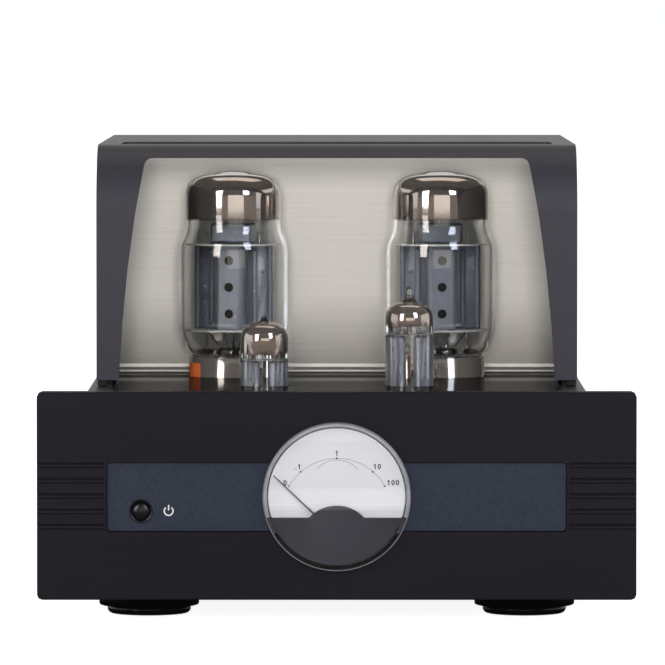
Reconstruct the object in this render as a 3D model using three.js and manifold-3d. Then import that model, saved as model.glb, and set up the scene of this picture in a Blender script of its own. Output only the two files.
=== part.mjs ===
// Mono tube power amplifier.
// Lengths are millimetres. +X is the right-hand side seen from the front, +Y the back, +Z up.
// Depths count from the front face of the front panel, heights from the floor.

import * as THREE from 'three';
import { mergeVertices } from 'three/addons/utils/BufferGeometryUtils.js';
import Module from 'manifold-3d';

// Clearances and cutters
const fit = 0.3;
const overrun = 6;
const mergeDistance = 1e-4;

// Front panel
const panelWidth = 265;
const panelHeight = 92;
const panelThickness = 12;
const panelBottom = 11;
const panelCorner = 1.8;
const panelBevel = 0.6;
const grooveCount = 5;
const groovePitch = 6.8;
const grooveRadius = 1.25;
const grooveStop = 1.1;

// Window in the front panel and its two insert strips
const windowMargin = 30.8;
const windowWidth = panelWidth - windowMargin * 2;
const grooveLength = windowMargin - grooveStop;
const windowHeight = 30.8;
const windowCorner = 1.4;
const windowRecess = 2;
const windowDrop = 0.5;
const insertThickness = 2;

// Meter
const lensRadius = 32.8;
const lensWall = 2;
const lensFrontWall = 1.6;
const lensProud = 6.5;
const lensEdge = 1;
const caseRadius = 30.2;
const caseWall = 1.8;
const caseDepth = 28;
const dialThickness = 0.8;
const dialHoleRadius = 2.2;
const maskThickness = 1;
const maskBehindLens = 0.5;
const maskDrop = 9.2;
const archHalfWidth = 12.2;
const archHeight = 5.3;
const pivotDrop = 17.3;
const needleLength = 38.5;
const needleTail = 6;
const needleWidth = 1;
const needleTipWidth = 0.4;
const needleThickness = 0.6;
const needleGap = 0.6;
const needleRestAngle = THREE.MathUtils.degToRad(-46.3);
const hubRadius = 3;
const hubThickness = 1.2;
const arborRadius = 1;
const arborDepth = 8;
const movementRadius = 10;
const movementFront = 6;
const movementBossRadius = 4;
const movementBossLength = 2;
const movementBoreRadius = 1.4;

// Power button, its bezel and its switch
const buttonInset = 15.2;
const buttonX = -windowWidth / 2 + buttonInset;
const buttonDrop = 6.7;
const buttonRadius = 4;
const buttonProud = 0.8;
const buttonDomeHeight = 1.3;
const buttonLength = 9.2;
const buttonStemRadius = 2;
const buttonStemEnd = 20;
const buttonTravel = 2.5;
const buttonFit = 0.2;
const bezelSleeveWall = 0.4;
const bezelLip = 0.6;
const bezelFlange = 1;
const bezelLength = 9;
const switchWidth = 12;
const switchLength = 22;

// Depths behind the panel's face: the power tubes, the back plate behind them, the rear of the case
const powerTubeDepth = 181;
const bulbRadius = 25.6;
const plateClearance = 5.4;
const plateFront = powerTubeDepth + bulbRadius + plateClearance;
const rearSpace = 178;
const chassisBack = plateFront + rearSpace;

// Chassis: folded shell, base plate and rear panel
const sheet = 1.5;
const panelOverhang = 18.5;
const chassisWidth = panelWidth - panelOverhang * 2;
const chassisTop = 99.2;
const chassisCorner = 2.5;
const chassisFlange = 12;
const baseBottom = 12.5;
const wireHoleRadius = 8;
const wireHoleShare = 0.25;
const ventCount = 8;
const ventLength = 46;
const ventWidth = 4;
const ventPitch = 11;
const ventX = 48;
const ventDepth = 150;

// Width of the hood, and of the gaskets under its sides
const hoodSetback = 4;
const hoodWidth = chassisWidth - hoodSetback * 2;
const gasketWidth = 4.6;

// Tube deck: one sheet, flat in front and bent up into the back plate
const deckTop = 101;
const plateGap = 1.1;
const plateHalfWidth = hoodWidth / 2 - fit - gasketWidth - plateGap;
const deckFrontTaper = 8.7;
const deckFrontHalfWidth = plateHalfWidth - deckFrontTaper;
const deckTaperBulge = 1.9;
const deckTaperX = plateHalfWidth - deckTaperBulge;
const deckTaperDepth = 83.4;
const deckTaperEnd = 160;
const bendRadius = 4;
const slotCount = 3;
const slotLaneShare = 0.387;
const slotLengthShare = 0.438;
const slotWidth = 2.6;
const slotPitch = 12.5;

// Hood
const hoodFront = 118;
const hoodRearSetback = 1;
const hoodBack = chassisBack - hoodRearSetback;
const hoodBottom = 102.2;
const hoodTop = 209.5;
const hoodSheet = 2;
const hoodFrontRadius = 31;
const hoodRearRadius = 4;
const frameLeg = 10.2;
const frameHalfWidth = hoodWidth / 2 - frameLeg;
const frameBar = 6;
const frameTopHeight = hoodTop - hoodBottom - frameBar;
const frameShoulderDrop = 3.5;
const frameShoulderHeight = frameTopHeight - frameShoulderDrop;
const frameShoulderInset = 11.4;
const frameShoulderX = frameHalfWidth - frameShoulderInset;
const frameBulgeInset = 2.4;
const frameBulgeX = frameHalfWidth - frameBulgeInset;
const frameBulgeShare = 0.54;
const frameBulgeHeight = frameShoulderHeight * frameBulgeShare;
const frameCornerInset = 12.1;
const frameCornerX = frameHalfWidth - frameCornerInset;
const frameTopInset = 15.3;
const frameTopHalfWidth = frameHalfWidth - frameTopInset;
const roofSlotReach = 29.5;
const roofSlotFront = powerTubeDepth - roofSlotReach;
const roofSlotSetback = 2.5;
const roofSlotBack = plateFront - roofSlotSetback;
const roofSlotMargin = 10;
const roofSlotHalfWidth = hoodWidth / 2 - roofSlotMargin;
const roofSlotCorner = 6;
const gasketSetback = 3;

// Feet
const footInset = 29.5;
const footX = chassisWidth / 2 - footInset;
const footFrontDepth = 63;
const footRearInset = 55;
const footRearDepth = chassisBack - footRearInset;
const footFlangeRadius = 22.5;
const footRadius = 18.8;
const footStepHeight = 4.6;
const footEdge = 1.2;

// Power tubes, with heights from the top of the deck
const powerTubeShare = 0.464;
const powerTubeX = plateHalfWidth * powerTubeShare;
const powerTubeTurns = { left: THREE.MathUtils.degToRad(-14), right: THREE.MathUtils.degToRad(5) };
const tubeBaseRadius = 20.5;
const tubeBaseWall = 1.3;
const tubeBaseTop = 9.2;
const tubeBaseBottom = -15;
const tubeBaseEdge = 0.7;
const pinDiscThickness = 3.7;
const bulbTopRadius = 22.3;
const bulbTop = 95.8;
const bulbWall = 1.3;
const bulbBottom = -9;
const bulbLowerStart = 26;
const bulbShoulderStart = 57.9;
const bulbShoulderEnd = 71.9;
const bulbDomeStart = 84;
const bulbDomeFlatRadius = 12;
const bulbDomeFlatDrop = 1.6;
const stemRadius = 8;
const pinchRadius = 6;
const pinchTop = 12;
const exhaustRadius = 1.2;
const octalPinCount = 8;
const octalPinCircle = 8.75;
const octalPinRadius = 1.17;
const octalPinLength = 11;
const spigotRadius = 3.9;
const spigotLength = 12;
const keyWidth = 1.6;
const keyReach = 1;
const anodeBottom = 22;
const anodeTop = 61;
const anodeHalfWidth = 18.7;
const anodeWing = 2.4;
const anodeBarrelWidth = 14;
const anodeBarrelDepth = 17;
const anodeBarrelCorner = 3;
const anodeWall = 1.1;
const anodeHoleRadius = 2.1;
const anodeHoleCount = 3;
const anodeHolePitch = 12.4;
const micaRadius = 22.2;
const micaThickness = 0.8;
const shieldWidth = 19.3;
const shieldDepth = 12;
const shieldHeight = 9.6;
const leadRadius = 0.9;
const leadX = 4;
const getterHeight = 80;
const getterRadius = 5;
const getterThickness = 1.6;

// Small tubes, with heights from the top of the deck
const smallTubeShare = 0.3173;
const smallTubeX = plateHalfWidth * smallTubeShare;
const smallTubeDepth = 97;
const smallTubes = {
  left: { domeTop: 29, tipTop: 31.5, platesTop: 12 },
  right: { domeTop: 38.3, tipTop: 44.9, platesTop: 23.5 },
};
const smallBulbRadius = 11;
const smallBulbWall = 1;
const smallBulbBottom = -17;
const smallDomeHeight = 8.5;
const smallDomeLift = 5.7;
const tipRadius = 1.7;
const tipShoulderRadius = 5.1;
const buttonGlassThickness = 2.2;
const novalPinCount = 9;
const novalPinCircle = 5.95;
const novalPinRadius = 0.55;
const novalPinLength = 6.5;
const novalPinSpread = THREE.MathUtils.degToRad(36);
const smallPlateBottom = -7;
const smallPlateWidth = 6.4;
const smallPlateDepth = 9;
const smallPlateGap = 1.6;
const smallMicaRadius = 9.5;
const smallLeadRadius = 0.6;
const smallGetterRadius = 3;
const smallGetterDrop = 6;

// Sockets and boards
const octalSocketRadius = 16;
const novalSocketRadius = 10.5;
const socketPinClearance = 0.45;
const socketHoleMargin = 1;
const shellHoleMargin = 2;
const boardTop = 73;
const boardThickness = 1.6;
const boardHalfWidth = 78;
const boardFront = 78;
const boardSetback = 6;
const boardBack = plateFront - boardSetback;
const postRadius = 3.5;
const postInset = 6;
const supplyHalfWidth = 70;
const supplySetback = 13;
const supplyFront = plateFront + supplySetback;
const supplyLength = 115;
const supplyBack = supplyFront + supplyLength;
const supplyRise = 5;
const capacitorRadius = 17.5;
const capacitorHeight = 54;
const capacitorX = 30;
const capacitorSetback = 57;
const capacitorDepth = supplyFront + capacitorSetback;

// Transformers under the hood
const transformerShare = 0.2409;
const mainsWidthShare = 0.409;
const mainsHeightShare = 0.689;
const outputWidthShare = 0.382;
const outputHeightShare = 0.635;
const chokeWidthShare = 0.273;
const chokeHeightShare = 0.453;
const legShare = 1 / 3;
const bigTransformerX = hoodWidth * transformerShare;
const bigTransformerSetback = 113;
const bigTransformerDepth = plateFront + bigTransformerSetback;
const chokeSetback = 38;
const chokeDepth = plateFront + chokeSetback;
const flangeThickness = 2;
const hoodRoom = hoodTop - chassisTop;
const transformers = {
  mains: {
    x: bigTransformerX,
    depth: bigTransformerDepth,
    width: hoodWidth * mainsWidthShare,
    height: hoodRoom * mainsHeightShare,
    stack: 58,
  },
  output: {
    x: -bigTransformerX,
    depth: bigTransformerDepth,
    width: hoodWidth * outputWidthShare,
    height: hoodRoom * outputHeightShare,
    stack: 50,
  },
  choke: {
    x: 0,
    depth: chokeDepth,
    width: hoodWidth * chokeWidthShare,
    height: hoodRoom * chokeHeightShare,
    stack: 24,
  },
};

// Rear fittings
const inletShare = 0.307;
const inletX = -chassisWidth * inletShare;
const inletHeight = 55;
const inletFlangeWidth = 31;
const inletFlangeHeight = 38;
const inletFlangeThickness = 2;
const inletBodyWidth = 27;
const inletBodyHeight = 33;
const inletBodyDepth = 24;
const inletMouthWidth = 22;
const inletMouthHeight = 15;
const inletMouthDepth = 15;
const inletMouthRise = 5.5;
const inletCorner = 2;
const contactWidth = 4;
const contactThickness = 2;
const contactPitch = 7;
const contactDrop = 2;
const contactSetback = 2;
const drawerWidth = 21;
const drawerHeight = 6.5;
const drawerDrop = 9.5;
const drawerLength = 19;
const drawerGrip = 1;
const gripWidth = 10.5;
const inputShare = 0.17544;
const inputX = chassisWidth * inputShare;
const inputHeight = 72;
const inputFlangeRadius = 7;
const inputFlangeThickness = 2.4;
const inputBarrelRadius = 4.15;
const inputBarrelLength = 9;
const inputBoreRadius = 1.7;
const inputBoreDepth = 7;
const inputShankRadius = 4.6;
const inputShankLength = 9;
const terminalShares = [0.08772, 0.20175, 0.31579];
const terminalXs = terminalShares.map((share) => chassisWidth * share);
const terminalHeight = 40;
const collarRadius = 7;
const collarThickness = 3;
const studRadius = 2.5;
const studLength = 12;
const shankRadius = 4;
const shankLength = 10;
const capRadius = 6.4;
const capLength = 14;
const capSides = 12;
const capFluteDepth = 0.8;

// Facets round a full turn
const wideSteps = 32;
const middleSteps = 20;
const narrowSteps = 12;
const pinSteps = 5;
const cornerSteps = 1;
const curveSteps = 4;
const innerSteps = 2;

// Places that follow from the sizes above
const panelMiddle = panelBottom + panelHeight / 2;
const lensInnerRadius = lensRadius - lensWall;
const lensBack = -fit;
const dialFront = lensBack - dialThickness;
const needleBack = dialFront - needleGap;
const buttonHeight = panelMiddle - buttonDrop;
const sleeveInnerRadius = buttonRadius + buttonFit;
const sleeveOuterRadius = sleeveInnerRadius + bezelSleeveWall;
const chassisFront = panelThickness + fit;
const shellBottom = baseBottom + sheet + fit;
const rearPanelFront = chassisBack + fit;
const rearPanelBack = rearPanelFront + sheet;
const deckFront = panelThickness + fit;
const deckBottom = deckTop - sheet;
const tubeHoleEdge = powerTubeX + tubeBaseRadius + socketHoleMargin;
const slotLane = plateHalfWidth - tubeHoleEdge;
const slotX = tubeHoleEdge + slotLane * slotLaneShare;
const slotLength = slotLane * slotLengthShare;
const boardOffset = boardTop - deckTop;
const tubeInnerRadius = tubeBaseRadius - tubeBaseWall;
const octalSocketTop = tubeBaseBottom - fit;
const novalSocketTop = smallBulbBottom - fit;
const depthFront = -lensProud;
const depthBack = rearPanelBack + collarThickness + fit + capLength;

const finishes = {
  anodisedBlack: { color: 0x26262c, roughness: 0.38, metalness: 0.8 },
  insertBlue: { color: 0x363b4a, roughness: 0.6, metalness: 0.2 },
  blackPlastic: { color: 0x111214, roughness: 0.3, metalness: 0 },
  clearPlastic: { color: 0xeef2f4, roughness: 0.05, metalness: 0, transparent: true, opacity: 0.25 },
  dialWhite: { color: 0xf2f2ee, roughness: 0.6, metalness: 0 },
  maskGrey: { color: 0x3d3b40, roughness: 0.5, metalness: 0 },
  powderBlack: { color: 0x303037, roughness: 0.6, metalness: 0.3 },
  polishedSteel: { color: 0xb5b3ac, roughness: 0.2, metalness: 1 },
  chrome: { color: 0xc8c8c4, roughness: 0.08, metalness: 1 },
  nickel: { color: 0xb9b6ad, roughness: 0.3, metalness: 1 },
  glass: { color: 0xeaf0f2, roughness: 0.03, metalness: 0, transparent: true, opacity: 0.3 },
  anodeGrey: { color: 0x5f6672, roughness: 0.55, metalness: 0.4 },
  rubber: { color: 0x141414, roughness: 0.8, metalness: 0 },
  footBlack: { color: 0x121214, roughness: 0.2, metalness: 0.1 },
  ceramic: { color: 0xe4e0d6, roughness: 0.5, metalness: 0 },
  boardGreen: { color: 0x1f4a33, roughness: 0.5, metalness: 0 },
  capacitorBlack: { color: 0x1b1d22, roughness: 0.4, metalness: 0 },
  coreSteel: { color: 0x3a3a3c, roughness: 0.6, metalness: 0.6 },
  winding: { color: 0x8c6a2e, roughness: 0.6, metalness: 0 },
  brass: { color: 0xc9a24a, roughness: 0.3, metalness: 1 },
};

const wasm = await Module();
wasm.setup();

// Closed solid from a geometry: corners merged, empty triangles dropped, faces turned outwards
function solidOf(geometry) {
  const bare = geometry.clone();
  bare.deleteAttribute('normal');
  bare.deleteAttribute('uv');
  const merged = mergeVertices(bare, mergeDistance);
  const corners = merged.getAttribute('position');
  const index = merged.getIndex();
  const [a, b, c] = [new THREE.Vector3(), new THREE.Vector3(), new THREE.Vector3()];
  const triangles = [];
  let volume = 0;
  for (let i = 0; i < index.count; i += 3) {
    const triangle = [index.getX(i), index.getX(i + 1), index.getX(i + 2)];
    if (new Set(triangle).size < 3) continue;
    triangles.push(triangle);
    [a, b, c].forEach((corner, k) => corner.fromBufferAttribute(corners, triangle[k]));
    volume += a.dot(b.cross(c));
  }
  if (volume < 0) triangles.forEach((triangle) => triangle.reverse());
  const vertProperties = new Float32Array(corners.array);
  const triVerts = new Uint32Array(triangles.flat());
  return new wasm.Manifold(new wasm.Mesh({ numProp: 3, vertProperties, triVerts }));
}

function geometryOf(solid) {
  const mesh = solid.getMesh();
  const geometry = new THREE.BufferGeometry();
  geometry.setAttribute('position', new THREE.BufferAttribute(mesh.vertProperties, 3));
  geometry.setIndex(new THREE.BufferAttribute(mesh.triVerts, 1));
  geometry.computeVertexNormals();
  return geometry;
}

function cut(body, ...tools) {
  return geometryOf(tools.reduce((solid, tool) => solid.subtract(solidOf(tool)), solidOf(body)));
}

function join(first, ...others) {
  return geometryOf(others.reduce((solid, other) => solid.add(solidOf(other)), solidOf(first)));
}

function piece(name, geometry, finish) {
  const mesh = new THREE.Mesh(geometryOf(solidOf(geometry)), new THREE.MeshStandardMaterial(finish));
  mesh.name = name;
  return mesh;
}

function groupOf(...members) {
  const group = new THREE.Group();
  group.add(...members);
  return group;
}

// Box between two opposite corners
function block([x0, y0, z0], [x1, y1, z1]) {
  const box = new THREE.BoxGeometry(x1 - x0, y1 - y0, z1 - z0);
  return box.translate((x0 + x1) / 2, (y0 + y1) / 2, (z0 + z1) / 2);
}

// Outlines extruded along Z, along Y (outline in X and Z) and along X (outline in Y and Z)
function alongZ(shape, from, to, curveSegments = cornerSteps) {
  const solid = new THREE.ExtrudeGeometry(shape, { depth: to - from, bevelEnabled: false, curveSegments });
  return solid.translate(0, 0, from);
}

function alongY(shape, from, to, curveSegments = cornerSteps) {
  const solid = new THREE.ExtrudeGeometry(shape, { depth: to - from, bevelEnabled: false, curveSegments });
  return solid.rotateX(Math.PI / 2).translate(0, to, 0);
}

function alongX(shape, from, to, curveSegments = cornerSteps) {
  const solid = new THREE.ExtrudeGeometry(shape, { depth: to - from, bevelEnabled: false, curveSegments });
  return solid.rotateX(Math.PI / 2).rotateZ(Math.PI / 2).translate(from, 0, 0);
}

// Profiles of [radius, place along the axis] turned round the Y and the Z axis
function turnY(profile, steps) {
  return new THREE.LatheGeometry(profile.map(([r, y]) => new THREE.Vector2(r, y)), steps);
}

function turnZ(profile, steps) {
  return turnY(profile, steps).rotateX(Math.PI / 2);
}

function rodX(radius, from, to, steps) {
  const rod = new THREE.CylinderGeometry(radius, radius, to - from, steps);
  return rod.rotateZ(Math.PI / 2).translate((from + to) / 2, 0, 0);
}

function rodY(radius, from, to, steps) {
  return new THREE.CylinderGeometry(radius, radius, to - from, steps).translate(0, (from + to) / 2, 0);
}

function rodZ(radius, from, to, steps) {
  const rod = new THREE.CylinderGeometry(radius, radius, to - from, steps);
  return rod.rotateX(Math.PI / 2).translate(0, 0, (from + to) / 2);
}

function roundedRectangle(width, height, radius, x = 0, y = 0) {
  const [left, right] = [x - width / 2 + radius, x + width / 2 - radius];
  const [low, high] = [y - height / 2 + radius, y + height / 2 - radius];
  const shape = new THREE.Shape();
  shape.absarc(right, high, radius, 0, Math.PI / 2);
  shape.absarc(left, high, radius, Math.PI / 2, Math.PI);
  shape.absarc(left, low, radius, Math.PI, Math.PI * 1.5);
  shape.absarc(right, low, radius, Math.PI * 1.5, Math.PI * 2);
  return shape;
}

// Points spread evenly round a circle, starting half a step in unless a start in steps is given
function ringPlaces(count, radius, step = (Math.PI * 2) / count, start = 0.5) {
  return Array.from({ length: count }, (_, i) => {
    const angle = (i + start) * step;
    return [radius * Math.sin(angle), radius * Math.cos(angle)];
  });
}

// Inner side of a wall of even thickness, point by point along its outline
function wallProfile(outline, wall) {
  return outline.map(([r, z], i) => {
    const [r0, z0] = outline[Math.max(i - 1, 0)];
    const [r1, z1] = outline[Math.min(i + 1, outline.length - 1)];
    const length = Math.hypot(r1 - r0, z1 - z0);
    return [Math.max(r - (wall * (z1 - z0)) / length, 0), z + (wall * (r1 - r0)) / length];
  });
}

function curvePoints(path, steps) {
  return path.getPoints(steps).map((point) => [point.x, point.y]);
}

function frontPanel() {
  const face = roundedRectangle(panelWidth - panelBevel * 2, panelHeight - panelBevel * 2, panelCorner);
  const slab = new THREE.ExtrudeGeometry(face, {
    depth: panelThickness - panelBevel * 2,
    bevelSize: panelBevel,
    bevelThickness: panelBevel,
    bevelSegments: 1,
    curveSegments: cornerSteps,
  });
  slab.rotateX(Math.PI / 2).translate(0, panelThickness - panelBevel, panelMiddle);
  const pocketDepth = windowRecess + insertThickness + fit;
  const pocket = alongY(
    roundedRectangle(windowWidth, windowHeight, windowCorner, 0, panelMiddle - windowDrop),
    -overrun,
    pocketDepth,
  );
  const meterHole = rodY(caseRadius + fit, -overrun, panelThickness + overrun, wideSteps);
  meterHole.translate(0, 0, panelMiddle);
  const buttonHole = rodY(sleeveOuterRadius + fit, -overrun, panelThickness + overrun, narrowSteps);
  buttonHole.translate(buttonX, 0, buttonHeight);
  const grooves = [];
  for (let i = 0; i < grooveCount; i += 1) {
    const height = panelMiddle + (i - (grooveCount - 1) / 2) * groovePitch;
    const inner = panelWidth / 2 - grooveLength;
    const outer = panelWidth / 2 + overrun;
    grooves.push(rodX(grooveRadius, -outer, -inner, narrowSteps).translate(0, 0, height));
    grooves.push(rodX(grooveRadius, inner, outer, narrowSteps).translate(0, 0, height));
  }
  return piece('front_panel', cut(slab, pocket, meterHole, buttonHole, ...grooves), finishes.anodisedBlack);
}

function insertStrips() {
  const [front, back] = [windowRecess, windowRecess + insertThickness];
  const width = windowWidth - fit * 2;
  const height = windowHeight - fit * 2;
  const strip = alongY(
    roundedRectangle(width, height, windowCorner, 0, panelMiddle - windowDrop),
    front,
    back,
  );
  const meterHole = rodY(caseRadius + fit, -overrun, back + overrun, wideSteps);
  meterHole.translate(0, 0, panelMiddle);
  const buttonHole = rodY(sleeveOuterRadius + fit, -overrun, back + overrun, narrowSteps);
  buttonHole.translate(buttonX, 0, buttonHeight);
  const otherSide = (x0, x1) => block(
    [x0, -overrun, panelBottom],
    [x1, back + overrun, panelBottom + panelHeight],
  );
  const left = cut(strip, meterHole, buttonHole, otherSide(0, panelWidth));
  const right = cut(strip, meterHole, otherSide(-panelWidth, 0));
  return groupOf(
    piece('front_insert_left', left, finishes.insertBlue),
    piece('front_insert_right', right, finishes.insertBlue),
  );
}

function meterLens() {
  return piece('meter_lens', turnY([
    [0, -lensProud],
    [lensRadius - lensEdge, -lensProud],
    [lensRadius, -lensProud + lensEdge],
    [lensRadius, lensBack],
    [lensInnerRadius, lensBack],
    [lensInnerRadius, -lensProud + lensFrontWall],
    [0, -lensProud + lensFrontWall],
  ], wideSteps), finishes.clearPlastic);
}

function meterCase() {
  return piece('meter_case', turnY([
    [0, caseDepth],
    [caseRadius, caseDepth],
    [caseRadius, 0],
    [caseRadius - caseWall, 0],
    [caseRadius - caseWall, caseDepth - caseWall],
    [0, caseDepth - caseWall],
  ], middleSteps), finishes.blackPlastic);
}

function meterDial() {
  const disc = rodY(lensInnerRadius - fit, dialFront, lensBack, wideSteps);
  const arborHole = rodY(dialHoleRadius, -overrun, overrun, narrowSteps).translate(0, 0, -pivotDrop);
  return piece('meter_dial', cut(disc, arborHole), finishes.dialWhite);
}

// Dark lower half of the meter, with an arch over the pivot
function meterMask() {
  const radius = lensInnerRadius - fit;
  const start = Math.asin(maskDrop / radius);
  const archRadius = (archHalfWidth ** 2 + archHeight ** 2) / (archHeight * 2);
  const archAngle = Math.asin(archHalfWidth / archRadius);
  const archCentre = archHeight - maskDrop - archRadius;
  const shape = new THREE.Shape();
  shape.absarc(0, archCentre, archRadius, Math.PI / 2 - archAngle, Math.PI / 2 + archAngle);
  shape.absarc(0, 0, radius, Math.PI + start, Math.PI * 2 - start);
  const front = -lensProud + lensFrontWall + maskBehindLens;
  return piece('meter_mask', alongY(shape, front, front + maskThickness, curveSteps * 2), finishes.maskGrey);
}

function meterNeedle() {
  const outline = new THREE.Shape();
  outline.moveTo(-needleWidth / 2, -needleTail);
  outline.lineTo(needleWidth / 2, -needleTail);
  outline.lineTo(needleTipWidth / 2, needleLength);
  outline.lineTo(-needleTipWidth / 2, needleLength);
  const arm = alongY(outline, needleBack - needleThickness, needleBack);
  const middle = needleBack - needleThickness / 2;
  const hub = rodY(hubRadius, middle - hubThickness / 2, middle + hubThickness / 2, narrowSteps);
  const arbor = rodY(arborRadius, middle, arborDepth, narrowSteps);
  const needle = piece('meter_needle', join(arm, hub, arbor), finishes.blackPlastic);
  needle.rotation.y = needleRestAngle;
  needle.position.z = -pivotDrop;
  return needle;
}

function meterMovement() {
  const back = caseDepth - caseWall - fit;
  const body = rodY(movementRadius, movementFront, back, middleSteps);
  const bossFront = movementFront - movementBossLength;
  const boss = rodY(movementBossRadius, bossFront, back, narrowSteps);
  const bore = rodY(movementBoreRadius, bossFront - overrun, arborDepth + fit, narrowSteps);
  const movement = piece('meter_movement', cut(join(body, boss), bore), finishes.coreSteel);
  movement.position.z = -pivotDrop;
  return movement;
}

function meter() {
  const group = groupOf(meterLens(), meterCase(), meterDial(), meterMask(), meterNeedle(), meterMovement());
  group.position.z = panelMiddle;
  return group;
}

function powerSwitch() {
  const domeEdge = -buttonProud + buttonDomeHeight;
  const dome = new THREE.Path();
  dome.moveTo(0, -buttonProud);
  dome.quadraticCurveTo(buttonRadius, -buttonProud, buttonRadius, domeEdge);
  const button = turnY([
    ...curvePoints(dome, curveSteps),
    [buttonRadius, buttonLength],
    [buttonStemRadius, buttonLength],
    [buttonStemRadius, buttonStemEnd],
    [0, buttonStemEnd],
  ], middleSteps);
  const flangeBack = windowRecess - fit;
  const flangeFront = flangeBack - bezelFlange;
  const bezel = turnY([
    [sleeveInnerRadius, flangeFront],
    [sleeveOuterRadius + bezelLip, flangeFront],
    [sleeveOuterRadius + bezelLip, flangeBack],
    [sleeveOuterRadius, flangeBack],
    [sleeveOuterRadius, flangeBack + bezelLength],
    [sleeveInnerRadius, flangeBack + bezelLength],
    [sleeveInnerRadius, flangeFront],
  ], middleSteps);
  const switchFront = chassisFront + sheet + fit;
  const body = block(
    [-switchWidth / 2, switchFront, -switchWidth / 2],
    [switchWidth / 2, switchFront + switchLength, switchWidth / 2],
  );
  const bore = rodY(
    buttonStemRadius + fit,
    switchFront - overrun,
    buttonStemEnd + buttonTravel + fit,
    narrowSteps,
  );
  const group = groupOf(
    piece('power_button', button, finishes.blackPlastic),
    piece('button_bezel', bezel, finishes.blackPlastic),
    piece('button_switch', cut(body, bore), finishes.blackPlastic),
  );
  group.position.set(buttonX, 0, buttonHeight);
  return group;
}

// Outline of the chassis seen from the front, inset by a share of the sheet
function chassisOutline(inset, bottom) {
  const half = chassisWidth / 2 - inset;
  const top = chassisTop - inset;
  const corner = chassisCorner - inset;
  const shape = new THREE.Shape();
  shape.moveTo(-half, bottom);
  shape.lineTo(half, bottom);
  shape.absarc(half - corner, top - corner, corner, 0, Math.PI / 2);
  shape.absarc(-half + corner, top - corner, corner, Math.PI / 2, Math.PI);
  return shape;
}

function chassisShell() {
  const box = alongY(chassisOutline(0, shellBottom), chassisFront, chassisBack);
  const hollow = alongY(
    chassisOutline(sheet, shellBottom + sheet),
    chassisFront + sheet,
    chassisBack + overrun,
  );
  const mouth = block(
    [-chassisWidth / 2 + chassisFlange, chassisFront + chassisFlange, shellBottom - overrun],
    [chassisWidth / 2 - chassisFlange, chassisBack + overrun, shellBottom + overrun],
  );
  const meterHole = rodY(caseRadius + fit, chassisFront - overrun, chassisFront + overrun, wideSteps);
  meterHole.translate(0, 0, panelMiddle);
  const stemHole = rodY(buttonStemRadius + fit, chassisFront - overrun, chassisFront + overrun, narrowSteps);
  stemHole.translate(buttonX, 0, buttonHeight);
  const tubeHoles = tubeHoleCutters(chassisTop, shellHoleMargin, middleSteps);
  const wireHoles = Object.values(transformers).map(({ x, depth, width, stack }) => {
    const hole = rodZ(wireHoleRadius, chassisTop - overrun, chassisTop + overrun, narrowSteps);
    return hole.translate(x + (x < 0 ? -1 : 1) * width * wireHoleShare, depth - stack, 0);
  });
  const shell = cut(box, hollow, mouth, meterHole, stemHole, ...tubeHoles, ...wireHoles);
  return piece('chassis_shell', shell, finishes.powderBlack);
}

// Round cutters for the four tubes in a horizontal sheet at the given height
function tubeHoleCutters(height, margin, steps) {
  const hole = (radius, x, depth) => {
    const cutter = rodZ(radius + margin, height - overrun, height + overrun, steps);
    return cutter.translate(x, depth, 0);
  };
  return [-1, 1].flatMap((side) => [
    hole(tubeBaseRadius, side * powerTubeX, powerTubeDepth),
    hole(smallBulbRadius, side * smallTubeX, smallTubeDepth),
  ]);
}

function basePlate() {
  const plate = block(
    [-chassisWidth / 2, chassisFront, baseBottom],
    [chassisWidth / 2, rearPanelBack, baseBottom + sheet],
  );
  const vents = [];
  for (const side of [-1, 1]) {
    for (let i = 0; i < ventCount; i += 1) {
      const depth = ventDepth + (i - (ventCount - 1) / 2) * ventPitch;
      vents.push(alongZ(
        roundedRectangle(ventLength, ventWidth, ventWidth / 2, side * ventX, depth),
        baseBottom - overrun,
        baseBottom + overrun,
      ));
    }
  }
  return piece('base_plate', cut(plate, ...vents), finishes.powderBlack);
}

function rearPanel() {
  const plate = alongY(chassisOutline(0, shellBottom), rearPanelFront, rearPanelBack);
  const through = [rearPanelFront - overrun, rearPanelBack + overrun];
  const inletHole = alongY(
    roundedRectangle(inletBodyWidth + fit * 2, inletBodyHeight + fit * 2, inletCorner, inletX, inletHeight),
    ...through,
  );
  const inputHole = rodY(inputShankRadius + fit, ...through, narrowSteps);
  inputHole.translate(inputX, 0, inputHeight);
  const studHoles = terminalXs.map((x) => {
    return rodY(shankRadius + fit, ...through, narrowSteps).translate(x, 0, terminalHeight);
  });
  return piece('rear_panel', cut(plate, inletHole, inputHole, ...studHoles), finishes.powderBlack);
}

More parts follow.
